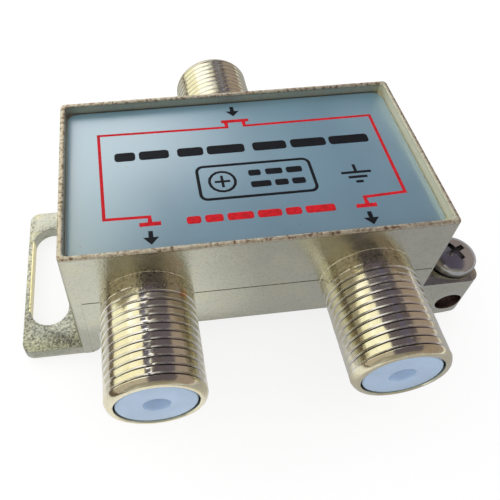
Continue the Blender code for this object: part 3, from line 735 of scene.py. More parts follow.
def socket_material():
    """Plated socket: bright and warm, darker deep in the grooves, with its marks and a sandy neck."""
    made, tree, shader, place = new_material("nickel_plated_socket", 1.0)
    base = finish_colour("thread")
    grain = grain_of(tree, place, 3200.0, 520.0, 900.0, 0.10)
    groove = add(tree, "Attribute", attribute_name="groove").outputs["Fac"]
    coarse = add(tree, "Attribute", attribute_name="rough").outputs["Fac"]

    warm = (base[0] * 0.97, base[1] * 0.93, base[2] * 0.86)
    tone = ramp(tree, grain["Blotch"], ((0.38, base), (0.65, warm)))
    speck = ramp(tree, grain["Grain"], ((0.25, 0.86), (0.5, 1.0)))
    sand = ramp(tree, grain["Grain"], ((0.32, 0.40), (0.47, 0.86), (0.6, 1.0)))
    tone = mix(tree, 1.0, tone, mix(tree, coarse, speck, sand), "MULTIPLY")
    tone = mix(tree, grain["Pit"], tone, (0.26, 0.17, 0.10))
    tone = mix(tree, ramp(tree, groove, ((0.02, 0.0), (0.15, 1.0))), tone, (0.88, 0.86, 0.82))
    # Darker deep in the grooves
    groove_darkening = ramp(tree, groove, ((0.5, 0.0), (0.8, 0.85)))
    tone = mix(tree, groove_darkening, tone, (0.09, 0.07, 0.06))
    marks = {}
    for name, (centre, radius, strength, tint) in SOCKET_MARKS.items():
        marks[name] = spot(tree, place, centre, radius)
        tone = mix(tree, product(tree, marks[name], strength), tone, tint)

    gloss = map_range(tree, grain["Blotch"], 0.3, 0.7, 0.12, 0.2)
    rough = maths(tree, "MULTIPLY_ADD", groove_darkening, 0.4, gloss)
    rough = maths(tree, "MULTIPLY_ADD", marks["nick"], 0.3, rough)
    height = product(tree, grain["Height"], maths(tree, "MULTIPLY_ADD", coarse, 6.0, 1.0))
    height = maths(tree, "MULTIPLY_ADD", marks["nick"], -4.0, height)
    paint(tree, shader, tone, rough, height, 0.000006)
    return made


# Dark specks on the label: place in millimetres and radius
LABEL_SPECKS = (
    ((-12.2, 1.2, 17.1), 0.14),
    ((-17.0, -8.6, 17.1), 0.22),
    ((4.0, -8.4, 17.1), 0.12),
)


def foil_material():
    """Blue printed film with a clear satin face, faintly rubbed, with a few dark specks."""
    made, tree, shader, place = new_material("label_film", 0.0, 0.36)
    shader.inputs["IOR"].default_value = 2.5
    shader.inputs["Specular IOR Level"].default_value = 1.0
    wear = cloud(tree, place, 130.0, 5.0)
    tone = two_tone(tree, wear, finish_colour("foil"), 0.94, 1.06)
    for centre, radius in LABEL_SPECKS:
        tone = mix(tree, product(tree, spot(tree, place, centre, radius), 0.75), tone, (0.05, 0.06, 0.06))
    rough = map_range(tree, wear, 0.0, 1.0, 0.30, 0.40)
    paint(tree, shader, tone, rough, cloud(tree, place, 6000.0, 2.0), 0.000002)
    return made


def ink_material(name, key):
    """Printing ink with a slightly uneven cover."""
    made, tree, shader, place = new_material(name, 0.0, 0.5)
    shader.inputs["Specular IOR Level"].default_value = 0.2
    cover = cloud(tree, place, 2600.0, 3.0)
    tone = two_tone(tree, cover, finish_colour(key), 0.8, 1.2)
    paint(tree, shader, tone, height=cover, depth=0.000004)
    return made


def plastic_material():
    """Milky moulded plastic with a soft sheen and faint flow marks."""
    made, tree, shader, place = new_material("milky_plastic", 0.0, 0.34)
    flow = cloud(tree, place, 350.0, 4.0, distortion=0.6)
    tone = two_tone(tree, flow, finish_colour("plastic"), 0.93, 1.06, (0.3, 0.7))
    shader.inputs["Subsurface Weight"].default_value = 0.35
    shader.inputs["Subsurface Radius"].default_value = (0.6, 0.8, 1.0)
    shader.inputs["Subsurface Scale"].default_value = 0.0008
    paint(tree, shader, tone, height=flow, depth=0.00002)
    return made


def plated_material(name, base, low, high, depth):
    """Plated steel with a fine grain and blotches in its gloss."""
    made, tree, shader, place = new_material(name, 1.0)
    grain = grain_of(tree, place, 2600.0, 300.0, 900.0, 0.06)
    tone = two_tone(tree, grain["Blotch"], base, 0.86, 1.08)
    tone = mix(tree, grain["Pit"], tone, shade(base, 0.4))
    rough = map_range(tree, grain["Blotch"], 0.3, 0.7, low, high)
    paint(tree, shader, tone, rough, grain["Height"], depth)
    return made


def lacquer_material(name, base, metallic, roughness, scale, spread):
    """A coloured coating or ceramic with a mottled tone."""
    made, tree, shader, place = new_material(name, metallic, roughness)
    mottle = cloud(tree, place, scale, 4.0)
    tone = two_tone(tree, mottle, base, 1 - spread, 1 + spread)
    paint(tree, shader, tone, height=mottle, depth=0.00001)
    return made


# Pieces of the casting


def body_shape(size):
    """Box and feet: the front outline over the depth, with recess, cover pocket and cavity."""
    half = size["body_length"] / 2
    deep = size["body_depth"] / 2
    top = size["body_top"]
    foot = size["foot_height"]
    inner = half - size["foot_width"]
    recess = half - size["rim_width"]
    recess_floor = top - size["recess_depth"]
    pocket = size["pocket_length"] / 2
    pocket_side = size["pocket_width"] / 2
    roof = size["cavity_roof"]
    outline = [(-half, 0), (-inner, 0), (-inner, foot), (inner, foot), (inner, 0), (half, 0),
               (half, top), (-half, top)]
    shape = solid(outline, -deep, deep)
    turn(shape, UPRIGHT, "X")
    lid = max(shape.faces, key=lambda face: face.calc_center_median().z)
    bmesh.ops.inset_region(shape, faces=[lid], thickness=size["rim_width"], use_even_offset=True)
    raise_face(shape, lid, (0, 0, -size["recess_depth"]))
    level = [face for face in shape.faces if abs(face.calc_center_median().z - foot) < NEAR]
    under = max(level, key=lambda face: face.calc_area())
    first_inset = 0.5
    bmesh.ops.inset_region(shape, faces=[under], thickness=first_inset, use_even_offset=True)
    fit = (pocket / (inner - first_inset), pocket_side / (deep - first_inset), 1)
    bmesh.ops.scale(shape, verts=under.verts, vec=fit)
    under = raise_face(shape, under, (0, 0, size["pocket_depth"]))
    bmesh.ops.inset_region(shape, faces=[under], thickness=size["pocket_seat"], use_even_offset=True)
    raise_face(shape, under, (0, 0, roof - foot - size["pocket_depth"]))
    bmesh.ops.recalc_face_normals(shape, faces=shape.faces)

    corners = upright_edges(shape, lambda p: abs(p.x) > half - NEAR and abs(p.y) > deep - NEAR)
    bevel(shape, corners, size["corner_round"], 6)
    corners = upright_edges(shape, lambda p: p.z > recess_floor and abs(p.x) < recess + NEAR)
    bevel(shape, corners, size["recess_round"], 5)
    corners = upright_edges(shape, lambda p: foot < p.z < roof and abs(p.x) < pocket + NEAR)
    bevel(shape, corners, size["pocket_round"], 5)
    feet = []
    for edge in shape.edges:
        a, b = (vert.co for vert in edge.verts)
        if max(a.z, b.z) < NEAR and abs(a.y - b.y) > 1 and abs(abs(a.x) - inner) < NEAR:
            feet.append(edge)
    bevel(shape, feet, size["foot_curve"], 8)
    bevel(shape, sharp_edges(shape, lambda p: p.z > top - NEAR), size["rim_round"], 4)
    outer = sharp_edges(shape, lambda p: abs(p.x) > pocket + 0.25 or abs(p.y) > pocket_side + 0.05
                        or p.z > roof + 0.2)
    bevel(shape, outer, size["edge_round"], 3)
    return shape


def bury_root(shape, size):
    """Lifts the underside of a root inside the end wall, so that no two faces lie on each other."""
    reach = (size["body_length"] - size["root"]) / 2
    hidden = [vert for vert in shape.verts if abs(vert.co.x) < reach and vert.co.z < NEAR]
    bmesh.ops.translate(shape, verts=hidden, vec=(0, 0, size["root_lift"]))


def ear_shape(size):
    """The screw ear with its slot, rooted in the left end wall."""
    wall = -size["body_length"] / 2
    end = wall - size["ear_reach"]
    box_front = -size["body_depth"] / 2
    back = -box_front - size["ear_setback"]
    points = box_points(end, box_front + size["front_step"], wall + size["root"], back)
    shape = solid(points, 0, size["ear_thickness"])
    bevel(shape, upright_edges(shape, lambda p: p.x < end + NEAR), size["ear_corner"], 8)

    wide = size["slot_width"] / 2
    far = size["slot_length"] / 2
    sliver = 0.001
    slot = solid(box_points(-wide, -far, wide, far), -PROUD, size["ear_thickness"] + PROUD)
    bevel(slot, upright_edges(slot, lambda p: True), wide - sliver, 14)
    move(slot, (end + size["slot_edge"] + wide, box_front + size["slot_setback"] + far, 0))
    shape = carved(shape, [slot])
    # The root's end lies inside the wall and stays sharp
    bevel(shape, sharp_edges(shape, lambda p: p.x < wall + 0.9), size["ear_round"], 3)
    bury_root(shape, size)
    return shape


def terminal_shape(size):
    """The earth terminal with its wire hole and screw hole, rooted in the right end wall."""
    wall = size["body_length"] / 2
    end = wall + size["terminal_reach"]
    box_front = -size["body_depth"] / 2
    front = box_front + size["front_step"]
    back = box_front + size["terminal_depth"]
    top = size["terminal_top"]
    corner = size["terminal_corner"]
    shape = solid(box_points(wall - size["root"], front, end, back), 0, top)
    bevel(shape, upright_edges(shape, lambda p: p.x > end - NEAR), corner, 8)
    lower = sharp_edges(shape, lambda p: p.z < NEAR and p.x > end - corner - 0.1)
    bevel(shape, lower, size["terminal_under"], 5)

    axis = wall + size["hole_reach"]
    wire_hole = rod(size["wire_radius"], -PROUD, size["terminal_depth"] + PROUD, 40)
    turn(wire_hole, UPRIGHT, "X")
    move(wire_hole, (axis, back, size["wire_height"]))
    screw_hole = rod(size["tap_radius"], size["wire_height"], top + PROUD, 32)
    move(screw_hole, (axis, (front + back) / 2, 0))
    shape = carved(shape, [wire_hole, screw_hole])
    # The root's end lies inside the wall and stays sharp
    bevel(shape, sharp_edges(shape, lambda p: p.x > wall + 0.2), size["terminal_round"], 3)
    bury_root(shape, size)
    return shape


def parting_line(shape, size):
    """A fine groove in the front face, where two parts of the die met."""
    front = -size["body_depth"] / 2
    low = size["parting_level"] - size["level_width"] / 2
    high = size["parting_level"] + size["level_width"] / 2
    left = -size["parting_side"] - size["side_width"] / 2
    right = -size["parting_side"] + size["side_width"] / 2
    least_area = 0.2

    def in_front(face):
        return max(abs(vert.co.y - front) for vert in face.verts) < NEAR

    for plane, normal in (
        ((0, 0, low), (0, 0, 1)),
        ((0, 0, high), (0, 0, 1)),
        ((left, 0, 0), (1, 0, 0)),
        ((right, 0, 0), (1, 0, 0)),
    ):
        faces = [face for face in shape.faces if in_front(face) and face.calc_area() > least_area]
        edges = {edge for face in faces for edge in face.edges}
        verts = {vert for face in faces for vert in face.verts}
        bmesh.ops.bisect_plane(
            shape,
            geom=list(verts) + list(edges) + faces,
            dist=1e-4,
            plane_co=plane,
            plane_no=normal,
        )
    strips = []
    for face in shape.faces:
        middle = face.calc_center_median()
        along = low < middle.z < high and middle.x > left
        down = left < middle.x < right and middle.z < high
        if in_front(face) and (along or down):
            strips.append(face)
    push_faces(shape, strips, (0, size["parting_depth"], 0))
    bmesh.ops.delete(shape, geom=strips, context="FACES_ONLY")


SOCKETS = ("output_left", "output_right", "input")


def socket_frame(name, size):
    """Turns a socket's own frame, +Z out of its mouth, into the frame of the model."""
    side = 1 if name == "input" else -1
    x = {"output_left": -size["spacing"] / 2, "output_right": size["spacing"] / 2, "input": 0.0}[name]
    wall = sizes("splitter_casting")["body_depth"] / 2
    facing = Matrix.Rotation(math.pi if side > 0 else 0.0, 4, "Z") @ Matrix.Rotation(UPRIGHT, 4, "X")
    return Matrix.Translation((x, side * wall, size["height"])) @ facing


def socket_shape(name, size, seed):
    """A socket: smooth neck, threaded barrel and rounded lip round an open bore."""
    radius = size["radius"]
    end = size["reach"]
    core = radius - size["groove"] - 0.1
    lip = end - size["lip"]
    root = -size["root"]
    flare = size["flare"]
    passage = size["passage"]
    bore = size["bore"]
    neck = size["neck"]
    bore_floor = 0.4
    profile = [(passage, root), (radius + flare, root), (radius + flare, -0.01)]
    profile += arc((radius + flare, flare), flare, 250, 180, 3)
    profile += [(radius, 0.1), (radius, neck / 2), (radius, neck - 0.03), (radius, neck)]
    profile += [(core, neck), (core, lip), (radius, lip), (radius, lip + 0.03)]
    profile += [(radius - 0.03, end - 0.60), (radius - 0.12, end - 0.38), (radius - 0.26, end - 0.17),
                (radius - 0.42, end - 0.04), (radius - 0.55, end)]
    profile += [(bore + 0.08, end), (bore, end - 0.08), (bore, bore_floor), (passage, bore_floor)]
    shape = turned(profile, size["steps"], hollow=True)
    sleeve = thread(radius, size["groove"], size["pitch"], size["neck"], lip, size["steps"],
                    core - 0.06, (1.0, 0.15))
    chance = random.Random(seed)
    start = Vector((seed * 20.0, 0.0, 0.0))
    seam_side = math.radians(9)
    seam_line = math.radians(2)
    for vert in sleeve.verts:
        distance = vert.co.xy.length
        if distance < core:
            continue
        wave = 0.016 * noise.noise(vert.co * 0.9 + start) + 0.007 * noise.noise(vert.co * 2.6 + start)
        angle = math.atan2(vert.co.y, vert.co.x)
        off = angle - size["seam"]
        if abs(off) < seam_side and distance > radius - 0.05 and neck + 0.6 < vert.co.z < lip:
            if abs(off) < seam_line:
                wave -= size["burr"] * chance.uniform(0.2, 0.7)
            elif off < 0 and chance.random() < 0.3:
                wave += size["burr"] * chance.uniform(0.0, 0.6)
                vert.co.z += size["burr"] * chance.uniform(-1.0, 1.0)
        vert.co.xy *= 1 + (wave - 0.012) / distance
    join(shape, sleeve)
    sandy = 0.9
    groove = shape.verts.layers.float.new("groove")
    rough = shape.verts.layers.float.new("rough")
    for vert in shape.verts:
        deep = (radius - vert.co.xy.length) / size["groove"]
        inside = neck < vert.co.z < lip and vert.co.xy.length > core + NEAR
        vert[groove] = max(0.0, min(1.0, deep)) if inside else 0.0
        vert[rough] = max(0.0, min(1.0, (neck + sandy - vert.co.z) / sandy))
    bmesh.ops.transform(shape, matrix=socket_frame(name, size), verts=shape.verts)
    return shape


class SPLITTER_OT_casting(bpy.types.Operator):
    """Build the box of the casting with its feet, ear and earth terminal"""

    bl_idname = "splitter.casting"
    bl_label = "Casting"

    def execute(self, context):
        size = sizes("splitter_casting")
        socket = sizes("splitter_socket")
        base = finish_colour("casting")
        metal = casting_material("nickel_plated_casting", base, 0.04, 0.000022, 0.17, 0.24)
        # The ear's metal is the casting's colour darkened by a tenth, as painted shade, with a stronger
        # mottle
        coarse = casting_material("nickel_plated_ear", shade(base, 0.9), 0.15, 0.00003, 0.16, 0.28)
        body = body_shape(size)
        parting_line(body, size)
        holes = []
        for name in SOCKETS:
            hole = rod(socket["passage"], -3, 2, 32)
            bmesh.ops.transform(hole, matrix=socket_frame(name, socket), verts=hole.verts)
            holes.append(hole)
        body = carved(body, holes)
        finish("casting_body", body, metal, ["housing"])
        finish("casting_ear", ear_shape(size), coarse, ["housing"])
        finish("casting_terminal", terminal_shape(size), metal, ["housing"])
        return {"FINISHED"}


class SPLITTER_OT_sockets(bpy.types.Operator):
    """Build the three threaded sockets"""

    bl_idname = "splitter.sockets"
    bl_label = "Sockets"

    def execute(self, context):
        size = sizes("splitter_socket")
        metal = socket_material()
        for seed, name in enumerate(SOCKETS):
            shape = socket_shape(name, size, seed)
            finish(f"{name}_socket", shape, metal, ["housing"], crease=40)
        return {"FINISHED"}


# Label and its print, laid out in millimetres from the middle of the label

# Half the thickness of a printed bar, and the thickness of a printed line
INK = 0.02
LINE_THICKNESS = 0.05

CIRCUIT_LINES = (
    ((-0.75, 6.95), (-0.75, 6.0), (-15.0, 6.2), (-14.75, -5.65), (-10.35, -5.75), (-10.35, -6.65)),
    ((1.25, 6.95), (1.25, 6.05), (15.75, 6.15), (15.6, -5.5), (11.3, -5.7), (11.3, -6.8)),
    ((-1.25, 6.95), (1.85, 6.95)),
    ((-11.4, -6.65), (-9.3, -6.65)),
    ((10.1, -6.8), (12.2, -6.8)),
)

# Rows of bars: their (start, end) along X, then the row's lower and upper edge
RED_BARS = (((-6.8, -5.4), (-5.0, -3.2), (-2.8, -0.2), (0.2, 2.6), (3.0, 4.6), (5.0, 8.0)), -7.1, -6.2)
BLACK_BARS = (
    ((-13.4, -11.2), (-10.8, -7.6), (-6.7, -3.9), (-3.5, 0.6), (1.5, 5.2), (5.7, 9.6), (10.0, 14.4)),
    2.0,
    3.25,
)
FRAMED_BARS = (
    (((0.3, 1.6), (2.1, 3.9), (4.3, 6.0)), -1.55, -0.75),
    (((0.3, 2.4), (2.8, 4.2), (4.6, 6.0)), -3.15, -2.35),
)

# The frame as low x, low y, high x, high y and corner radius, and the ring with its cross in it
RING_FRAME = (-5.0, -4.25, 6.95, 0.25, 0.7)
RING_CENTRE = (-2.55, -2.0)
RING_RADIUS = 1.35
CROSS_REACH = 0.8

# The earth symbol: the top of its stem, then half the length of each bar and its drop below the top
EARTH_TOP = (11.5, -1.2)
EARTH_BARS = ((1.6, 1.1), (1.0, 1.75), (0.4, 2.4))

# Tips of the arrows at the sockets
ARROWS = ((0.3, 7.75), (-10.4, -9.1), (11.1, -9.2))


def plate(low_x, low_y, high_x, high_y, low, high, corner):
    """A thin plate with rounded corners."""
    shape = solid(box_points(low_x, low_y, high_x, high_y), low, high)
    if corner:
        bevel(shape, upright_edges(shape, lambda p: True), corner, 5)
    return shape


def printed_line(points, width, level, closed=False):
    """A flat printed line through the points, on the level."""
    curve = bpy.data.curves.new("line", "CURVE")
    curve.dimensions = "3D"
    curve.bevel_depth = width / 2
    curve.bevel_resolution = 2
    curve.use_fill_caps = True
    spline = curve.splines.new("POLY")
    spline.points.add(len(points) - 1)
    spline.use_cyclic_u = closed
    for point, place in zip(spline.points, points):
        point.co = (place[0], place[1], 0.0, 1.0)
    drawn = bpy.data.objects.new("line", curve)
    shape = bmesh.new()
    shape.from_mesh(drawn.to_mesh())
    bpy.data.objects.remove(drawn)
    bpy.data.curves.remove(curve)
    bmesh.ops.remove_doubles(shape, verts=shape.verts, dist=1e-4)
    bmesh.ops.scale(shape, vec=(1, 1, LINE_THICKNESS / width), verts=shape.verts)
    move(shape, (0, 0, level))
    return shape


def rounded_path(low_x, low_y, high_x, high_y, radius):
    """Points of a rectangle with round corners."""
    points = []
    for x, y, start in ((high_x - radius, high_y - radius, 0), (low_x + radius, high_y - radius, 90),
                        (low_x + radius, low_y + radius, 180), (high_x - radius, low_y + radius, 270)):
        points += arc((x, y), radius, start, start + 90, 6)
    return points


def bars(row, low_y, high_y, level):
    """A row of plain bars, given as their (start, end) along X."""
    shape = bmesh.new()
    for low_x, high_x in row:
        corner = min(high_y - low_y, high_x - low_x) * 0.3
        join(shape, plate(low_x, low_y, high_x, high_y, level - INK, level + INK, corner))
    return shape


def arrow(x, y, level):
    """A plain arrow that points to -Y, with its tip at the place. Its stem lies a trace lower."""
    shape = solid([(x, y), (x + 0.75, y + 0.85), (x - 0.75, y + 0.85)], level - INK, level + INK)
    join(shape, plate(x - 0.22, y + 0.8, x + 0.22, y + 1.6, level - INK, level + 0.9 * INK, 0))
    return shape


def red_print(size, level):
    """The circuit line and the lower row of bars."""
    shape = bmesh.new()
    for points in CIRCUIT_LINES:
        join(shape, printed_line(points, size["line"], level))
    join(shape, bars(*RED_BARS, level))
    return shape


def black_print(size, level):
    """The upper row of bars, the frame with its ring and bars, the earth symbol and the arrows."""
    shape = bmesh.new()
    thin = size["thin_line"]
    ring = size["ring_line"]
    join(shape, bars(*BLACK_BARS, level))
    join(shape, printed_line(rounded_path(*RING_FRAME), thin, level, True))
    x, y = RING_CENTRE
    circle = [(x + a, y + b) for a, b in arc((0, 0), RING_RADIUS, 0, 337.5, 15)]
    join(shape, printed_line(circle, ring, level, True))
    join(shape, printed_line([(x - CROSS_REACH, y), (x + CROSS_REACH, y)], ring, level))
    join(shape, printed_line([(x, y - CROSS_REACH), (x, y + CROSS_REACH)], ring, level))
    for row in FRAMED_BARS:
        join(shape, bars(*row, level))
    x, y = EARTH_TOP
    for reach, drop in EARTH_BARS:
        join(shape, printed_line([(x - reach, y - drop), (x + reach, y - drop)], thin, level))
    join(shape, printed_line([(x, y - EARTH_BARS[0][1]), (x, y)], thin, level))
    for place in ARROWS:
        join(shape, arrow(*place, level))
    return shape


class SPLITTER_OT_label(bpy.types.Operator):
    """Build the foil label and its print"""

    bl_idname = "splitter.label"
    bl_label = "Label"

    def execute(self, context):
        size = sizes("splitter_label")
        half = size["length"] / 2
        deep = size["depth"] / 2
        top = size["underside"] + size["thickness"]
        foil = plate(-half, -deep, half, deep, size["underside"], top, size["corner"])
        bevel(foil, sharp_edges(foil, lambda p: p.z > top - NEAR), 0.04, 2)
        finish("label_sheet", foil, foil_material(), ["label"])
        finish("print_red", red_print(size, top), ink_material("print_red", "red"), ["label"])
        black = ink_material("print_black", "black")
        finish("print_black", black_print(size, top), black, ["label"])
        return {"FINISHED"}


# Insulators, screw, cover and the parts inside


def insulator_shape(name, size):
    """A moulded plug: flush face with a soft funnel, shoulder and spigot."""
    front = size["reach"] - 0.1
    radius = size["bore"] - 0.15
    shoulder = 0.55
    spigot = 1.55
    spigot_end = -2.1
    hole = 0.6
    socket = 1.05
    profile = [(hole, front - 1.4), (0.72, front - 1.0), (1.0, front - 0.6), (1.18, front - 0.34),
               (1.25, front - 0.1), (1.32, front - 0.02), (1.42, front)]
    profile += arc((radius - 0.2, front - 0.2), 0.2, 90, 0, 5)
    profile += [(radius, shoulder), (spigot, shoulder), (spigot, spigot_end), (socket, spigot_end),
                (socket, front - 2.2), (hole, front - 2.2)]
    shape = turned(profile, 64, hollow=True)
    bmesh.ops.transform(shape, matrix=socket_frame(name, size), verts=shape.verts)
    return shape


class SPLITTER_OT_insulators(bpy.types.Operator):
    """Build the insulators of the three sockets"""

    bl_idname = "splitter.insulators"
    bl_label = "Insulators"

    def execute(self, context):
        size = sizes("splitter_socket")
        plastic = plastic_material()
        nodes = {
            "output_left": "output_insulator_left",
            "output_right": "output_insulator_right",
            "input": "input_insulator",
        }
        for name, node in nodes.items():
            finish(f"{node}_plug", insulator_shape(name, size), plastic, [node])
        return {"FINISHED"}


def blade(span, width, bottom, top, angle):
    """One arm of the cross recess, wider at the top, turned about Z."""
    shape = solid(box_points(-span / 2, -width / 2, span / 2, width / 2), bottom, top)
    low = [vert for vert in shape.verts if vert.co.z < (bottom + top) / 2]
    bmesh.ops.scale(shape, verts=low, vec=(0.72, 0.8, 1))
    turn(shape, angle, "Z")
    return shape


def screw_shape(size):
    """A pan head screw with its cross recess and thread, its seat at the level 0."""
    radius = size["radius"]
    reach = size["reach"]
    head = size["head"]
    rise = size["rise"]
    core = radius - 0.27
    brim = 0.12
    dome = 0.7
    steps = 12
    profile = [(0, -reach), (radius - 0.5, -reach), (core, 0.22 - reach), (core, 0), (head - brim, 0)]
    profile += arc((head - brim, brim), brim, -90, 0, 3)
    for step in range(steps):
        angle = math.radians(90 * step / steps)
        profile.append((head * math.cos(angle), dome + (rise - dome) * math.sin(angle)))
    profile.append((0, rise))
    shape = turned(profile, 64)
    bottom = rise - size["cross_depth"]
    cross = [blade(size["cross"], size["cross_width"], bottom, rise + 0.3, angle) for angle in (0, UPRIGHT)]
    shape = carved(shape, cross)
    turn(shape, math.radians(24), "Z")
    join(shape, thread(radius, 0.22, size["pitch"], 0.25 - reach, -0.02, 32, core - 0.05, (0.5, 0.2)))
    return shape


class SPLITTER_OT_screw(bpy.types.Operator):
    """Build the clamping screw with its thread and cross recess"""

    bl_idname = "splitter.screw"
    bl_label = "Clamping screw"

    def execute(self, context):
        size = sizes("splitter_screw")
        casting = sizes("splitter_casting")
        shape = screw_shape(size)
        across = casting["body_length"] / 2 + casting["hole_reach"]
        along = (casting["terminal_depth"] - casting["body_depth"]) / 2
        move(shape, (across, along, casting["terminal_top"] + size["seat"]))
        metal = plated_material("zinc_plated_screw", finish_colour("screw"), 0.14, 0.24, 0.000006)
        finish("clamping_screw_piece", shape, metal, ["ground_screw"],
               "clamping_screw")
        return {"FINISHED"}


class SPLITTER_OT_inner(bpy.types.Operator):
    """Give the back cover and the parts inside their materials"""

    bl_idname = "splitter.inner"
    bl_label = "Cover and inner parts"

    def execute(self, context):
        copper = lacquer_material("enamelled_copper", (0.60, 0.22, 0.08), 0.9, 0.3, 1500.0, 0.12)
        materials = {
            "cover": plated_material("tinned_cover", finish_colour("tin"), 0.3, 0.45, 0.00001),
            "contact": plated_material("tinned_bronze", (0.70, 0.62, 0.45), 0.2, 0.32, 0.000004),
            "board": lacquer_material("board_laminate", (0.45, 0.30, 0.12), 0.0, 0.6, 900.0, 0.15),
            "core": lacquer_material("ferrite", (0.06, 0.06, 0.065), 0.0, 0.7, 2500.0, 0.3),
            "winding": copper,
            "choke": copper,
            "resistor": lacquer_material("resistor_lacquer", (0.62, 0.50, 0.32), 0.0, 0.5, 1200.0, 0.1),
            "capacitor": lacquer_material("ceramic_disc", (0.70, 0.36, 0.10), 0.0, 0.55, 1300.0, 0.1),
            "diode": lacquer_material("diode_glass", (0.60, 0.20, 0.07), 0.0, 0.15, 700.0, 0.1),
        }
        for name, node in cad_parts.items():
            for kind, material in materials.items():
                if kind in name.split("_"):
                    for slot in node.material_slots:
                        slot.material = material
        return {"FINISHED"}


# Stage


# The camera as it was fitted to the photograph: its sides, its place in millimetres, and its
# focal length and the middle of its view in pixels of a square frame
CAMERA_RIGHT = (0.9923, -0.1233, 0.0078)
CAMERA_UP = (0.0882, 0.7514, 0.6539)
CAMERA_AHEAD = (0.0865, 0.6482, -0.7566)
CAMERA_PLACE = (-11.37, -41.35, 61.32)
FRAME_PIXELS = 500
FOCAL_PIXELS = 582.93
MIDDLE_PIXELS = (187.78, 195.45)
SENSOR = 36

# Colours of the room that the metal reflects
DARK = (0.115, 0.10, 0.135)
TAN = (0.34, 0.28, 0.26)
ROOM = (0.5, 0.45, 0.40)
DESK = (0.13, 0.10, 0.08)
WINDOW = (1.08, 1.07, 0.86)
WALL = (0.36, 0.34, 0.30)
FLOOR_SHADE = (0.42, 0.42, 0.45)

# Reflectors, in millimetres: name, the (x, z) points of the section, where it starts and ends along
# Y, and its colours as (x, colour), a grey as one number
CARDS = (
    ("dark_card", ((-48, 144), (130, 144)), -130, 75, ((-48, DARK), (130, DARK))),
    ("front_card", ((-170, 144), (190, 144)), -260, -130, ((-170, WALL), (190, (0.17, 0.15, 0.14)))),
    ("wall_card", ((-170, 2), (-170, 144)), -260, -130, ((-171, WALL), (-169, WALL))),
    ("back_card", ((-170, 144), (130, 144)), 75, 330,
     ((-170, 1.5), (-33, 1.35), (-6, 0.82), (21, 0.34), (48, (0.19, 0.18, 0.19)), (99, DARK), (130, DARK))),
    ("tan_card", ((130, 144), (190, 90), (190, 0.5)), -260, 330, ((130, TAN), (190, TAN))),
    ("room_card", ((-48, 144), (-170, 144), (-170, 2)), -130, -5, ((-170, ROOM), (-48, ROOM))),
    ("window_card", ((-48, 144), (-170, 144), (-170, 2)), -5, 75, ((-170, WINDOW), (-48, WINDOW))),
    ("side_card", ((-170, 144), (-170, 2)), 75, 330, ((-171, WINDOW), (-169, WINDOW))),
    ("desk_card", ((-150, 1), (-42, 1)), -130, 170, ((-150, DESK), (-42, DESK))),
    # paper_card and shadow_card stand for the floor in the metal's reflections, with painted shade: darker
    # to the right and under the body
    ("paper_card", ((-42, 0.3), (90, 0.3)), -130, -13,
     ((-42, 0.75), (-18, 0.88), (-6, 0.84), (3, (0.48, 0.48, 0.49)), (24, FLOOR_SHADE), (90, FLOOR_SHADE))),
    ("shadow_card", ((-42, 0.3), (90, 0.3)), -13, 170,
     ((-42, 0.6), (-16, 0.6), (-7, 0.44), (24, FLOOR_SHADE), (90, FLOOR_SHADE))),
)


def camera():
    """The camera, fitted to the photograph."""
    data = bpy.data.cameras.new("camera")
    made = in_scene("camera", data)
    right = Vector(CAMERA_RIGHT).normalized()
    up = Vector(CAMERA_UP).normalized()
    back = -Vector(CAMERA_AHEAD).normalized()
    facing = Matrix((right, up, back)).transposed().to_4x4()
    made.matrix_world = Matrix.Translation(Vector(CAMERA_PLACE) * MM) @ facing
    data.sensor_width = SENSOR
    data.lens = FOCAL_PIXELS / FRAME_PIXELS * SENSOR
    data.shift_x = (FRAME_PIXELS / 2 - MIDDLE_PIXELS[0]) / FRAME_PIXELS
    data.shift_y = (MIDDLE_PIXELS[1] - FRAME_PIXELS / 2) / FRAME_PIXELS
    data.clip_start = 0.001
    bpy.context.scene.camera = made


def seen_share(tree, gloss):
    """1 for camera and transmission rays, the gloss share for glossy rays, 0 for rays of light."""
    path = add(tree, "LightPath").outputs
    share = maths(tree, "MAXIMUM", product(tree, path["Is Glossy Ray"], gloss), path["Is Camera Ray"])
    return maths(tree, "MAXIMUM", share, path["Is Transmission Ray"])


def sky():
    """Even white light from all round, at full strength only where it is seen."""
    world = bpy.data.worlds.new("studio")
    world.use_nodes = True
    bpy.context.scene.world = world
    tree = world.node_tree
    back = tree.nodes["Background"].inputs
    feed(tree, back["Color"], (1, 1, 1))
    feed(tree, back["Strength"], maths(tree, "MULTIPLY_ADD", seen_share(tree, 1.0), 0.22, 0.78))


def floor():
    """A large pale floor, white to the camera apart from the object's shadow."""
    shape = bmesh.new()
    bmesh.ops.create_grid(shape, x_segments=1, y_segments=1, size=3.0)
    move(shape, (0, 0, -0.00005))
    mesh = as_mesh("floor", shape)
    pale, tree, shader, _ = new_material("pale_floor", 0.0, 0.9)
    shader.inputs["Specular IOR Level"].default_value = 0.0
    shader.inputs["Emission Color"].default_value = (1, 1, 1, 1)
    seen = seen_share(tree, 0.4)
    base = finish_colour("floor")
    paint(tree, shader, mix(tree, seen, base, shade(base, 0.28)))
    feed(tree, shader.inputs["Emission Strength"], product(tree, seen, 0.79))
    mesh.materials.append(pale)
    in_scene("floor", mesh)


def lamp(name, place, power, width):
    """A square lamp that faces the object and that gloss doesn't see."""
    data = bpy.data.lights.new(name, "AREA")
    data.energy = power
    data.size = width
    made = in_scene(name, data)
    made.visible_glossy = False
    aim = Vector(place)
    made.matrix_world = Matrix.Translation(aim) @ aim.to_track_quat("Z", "Y").to_matrix().to_4x4()


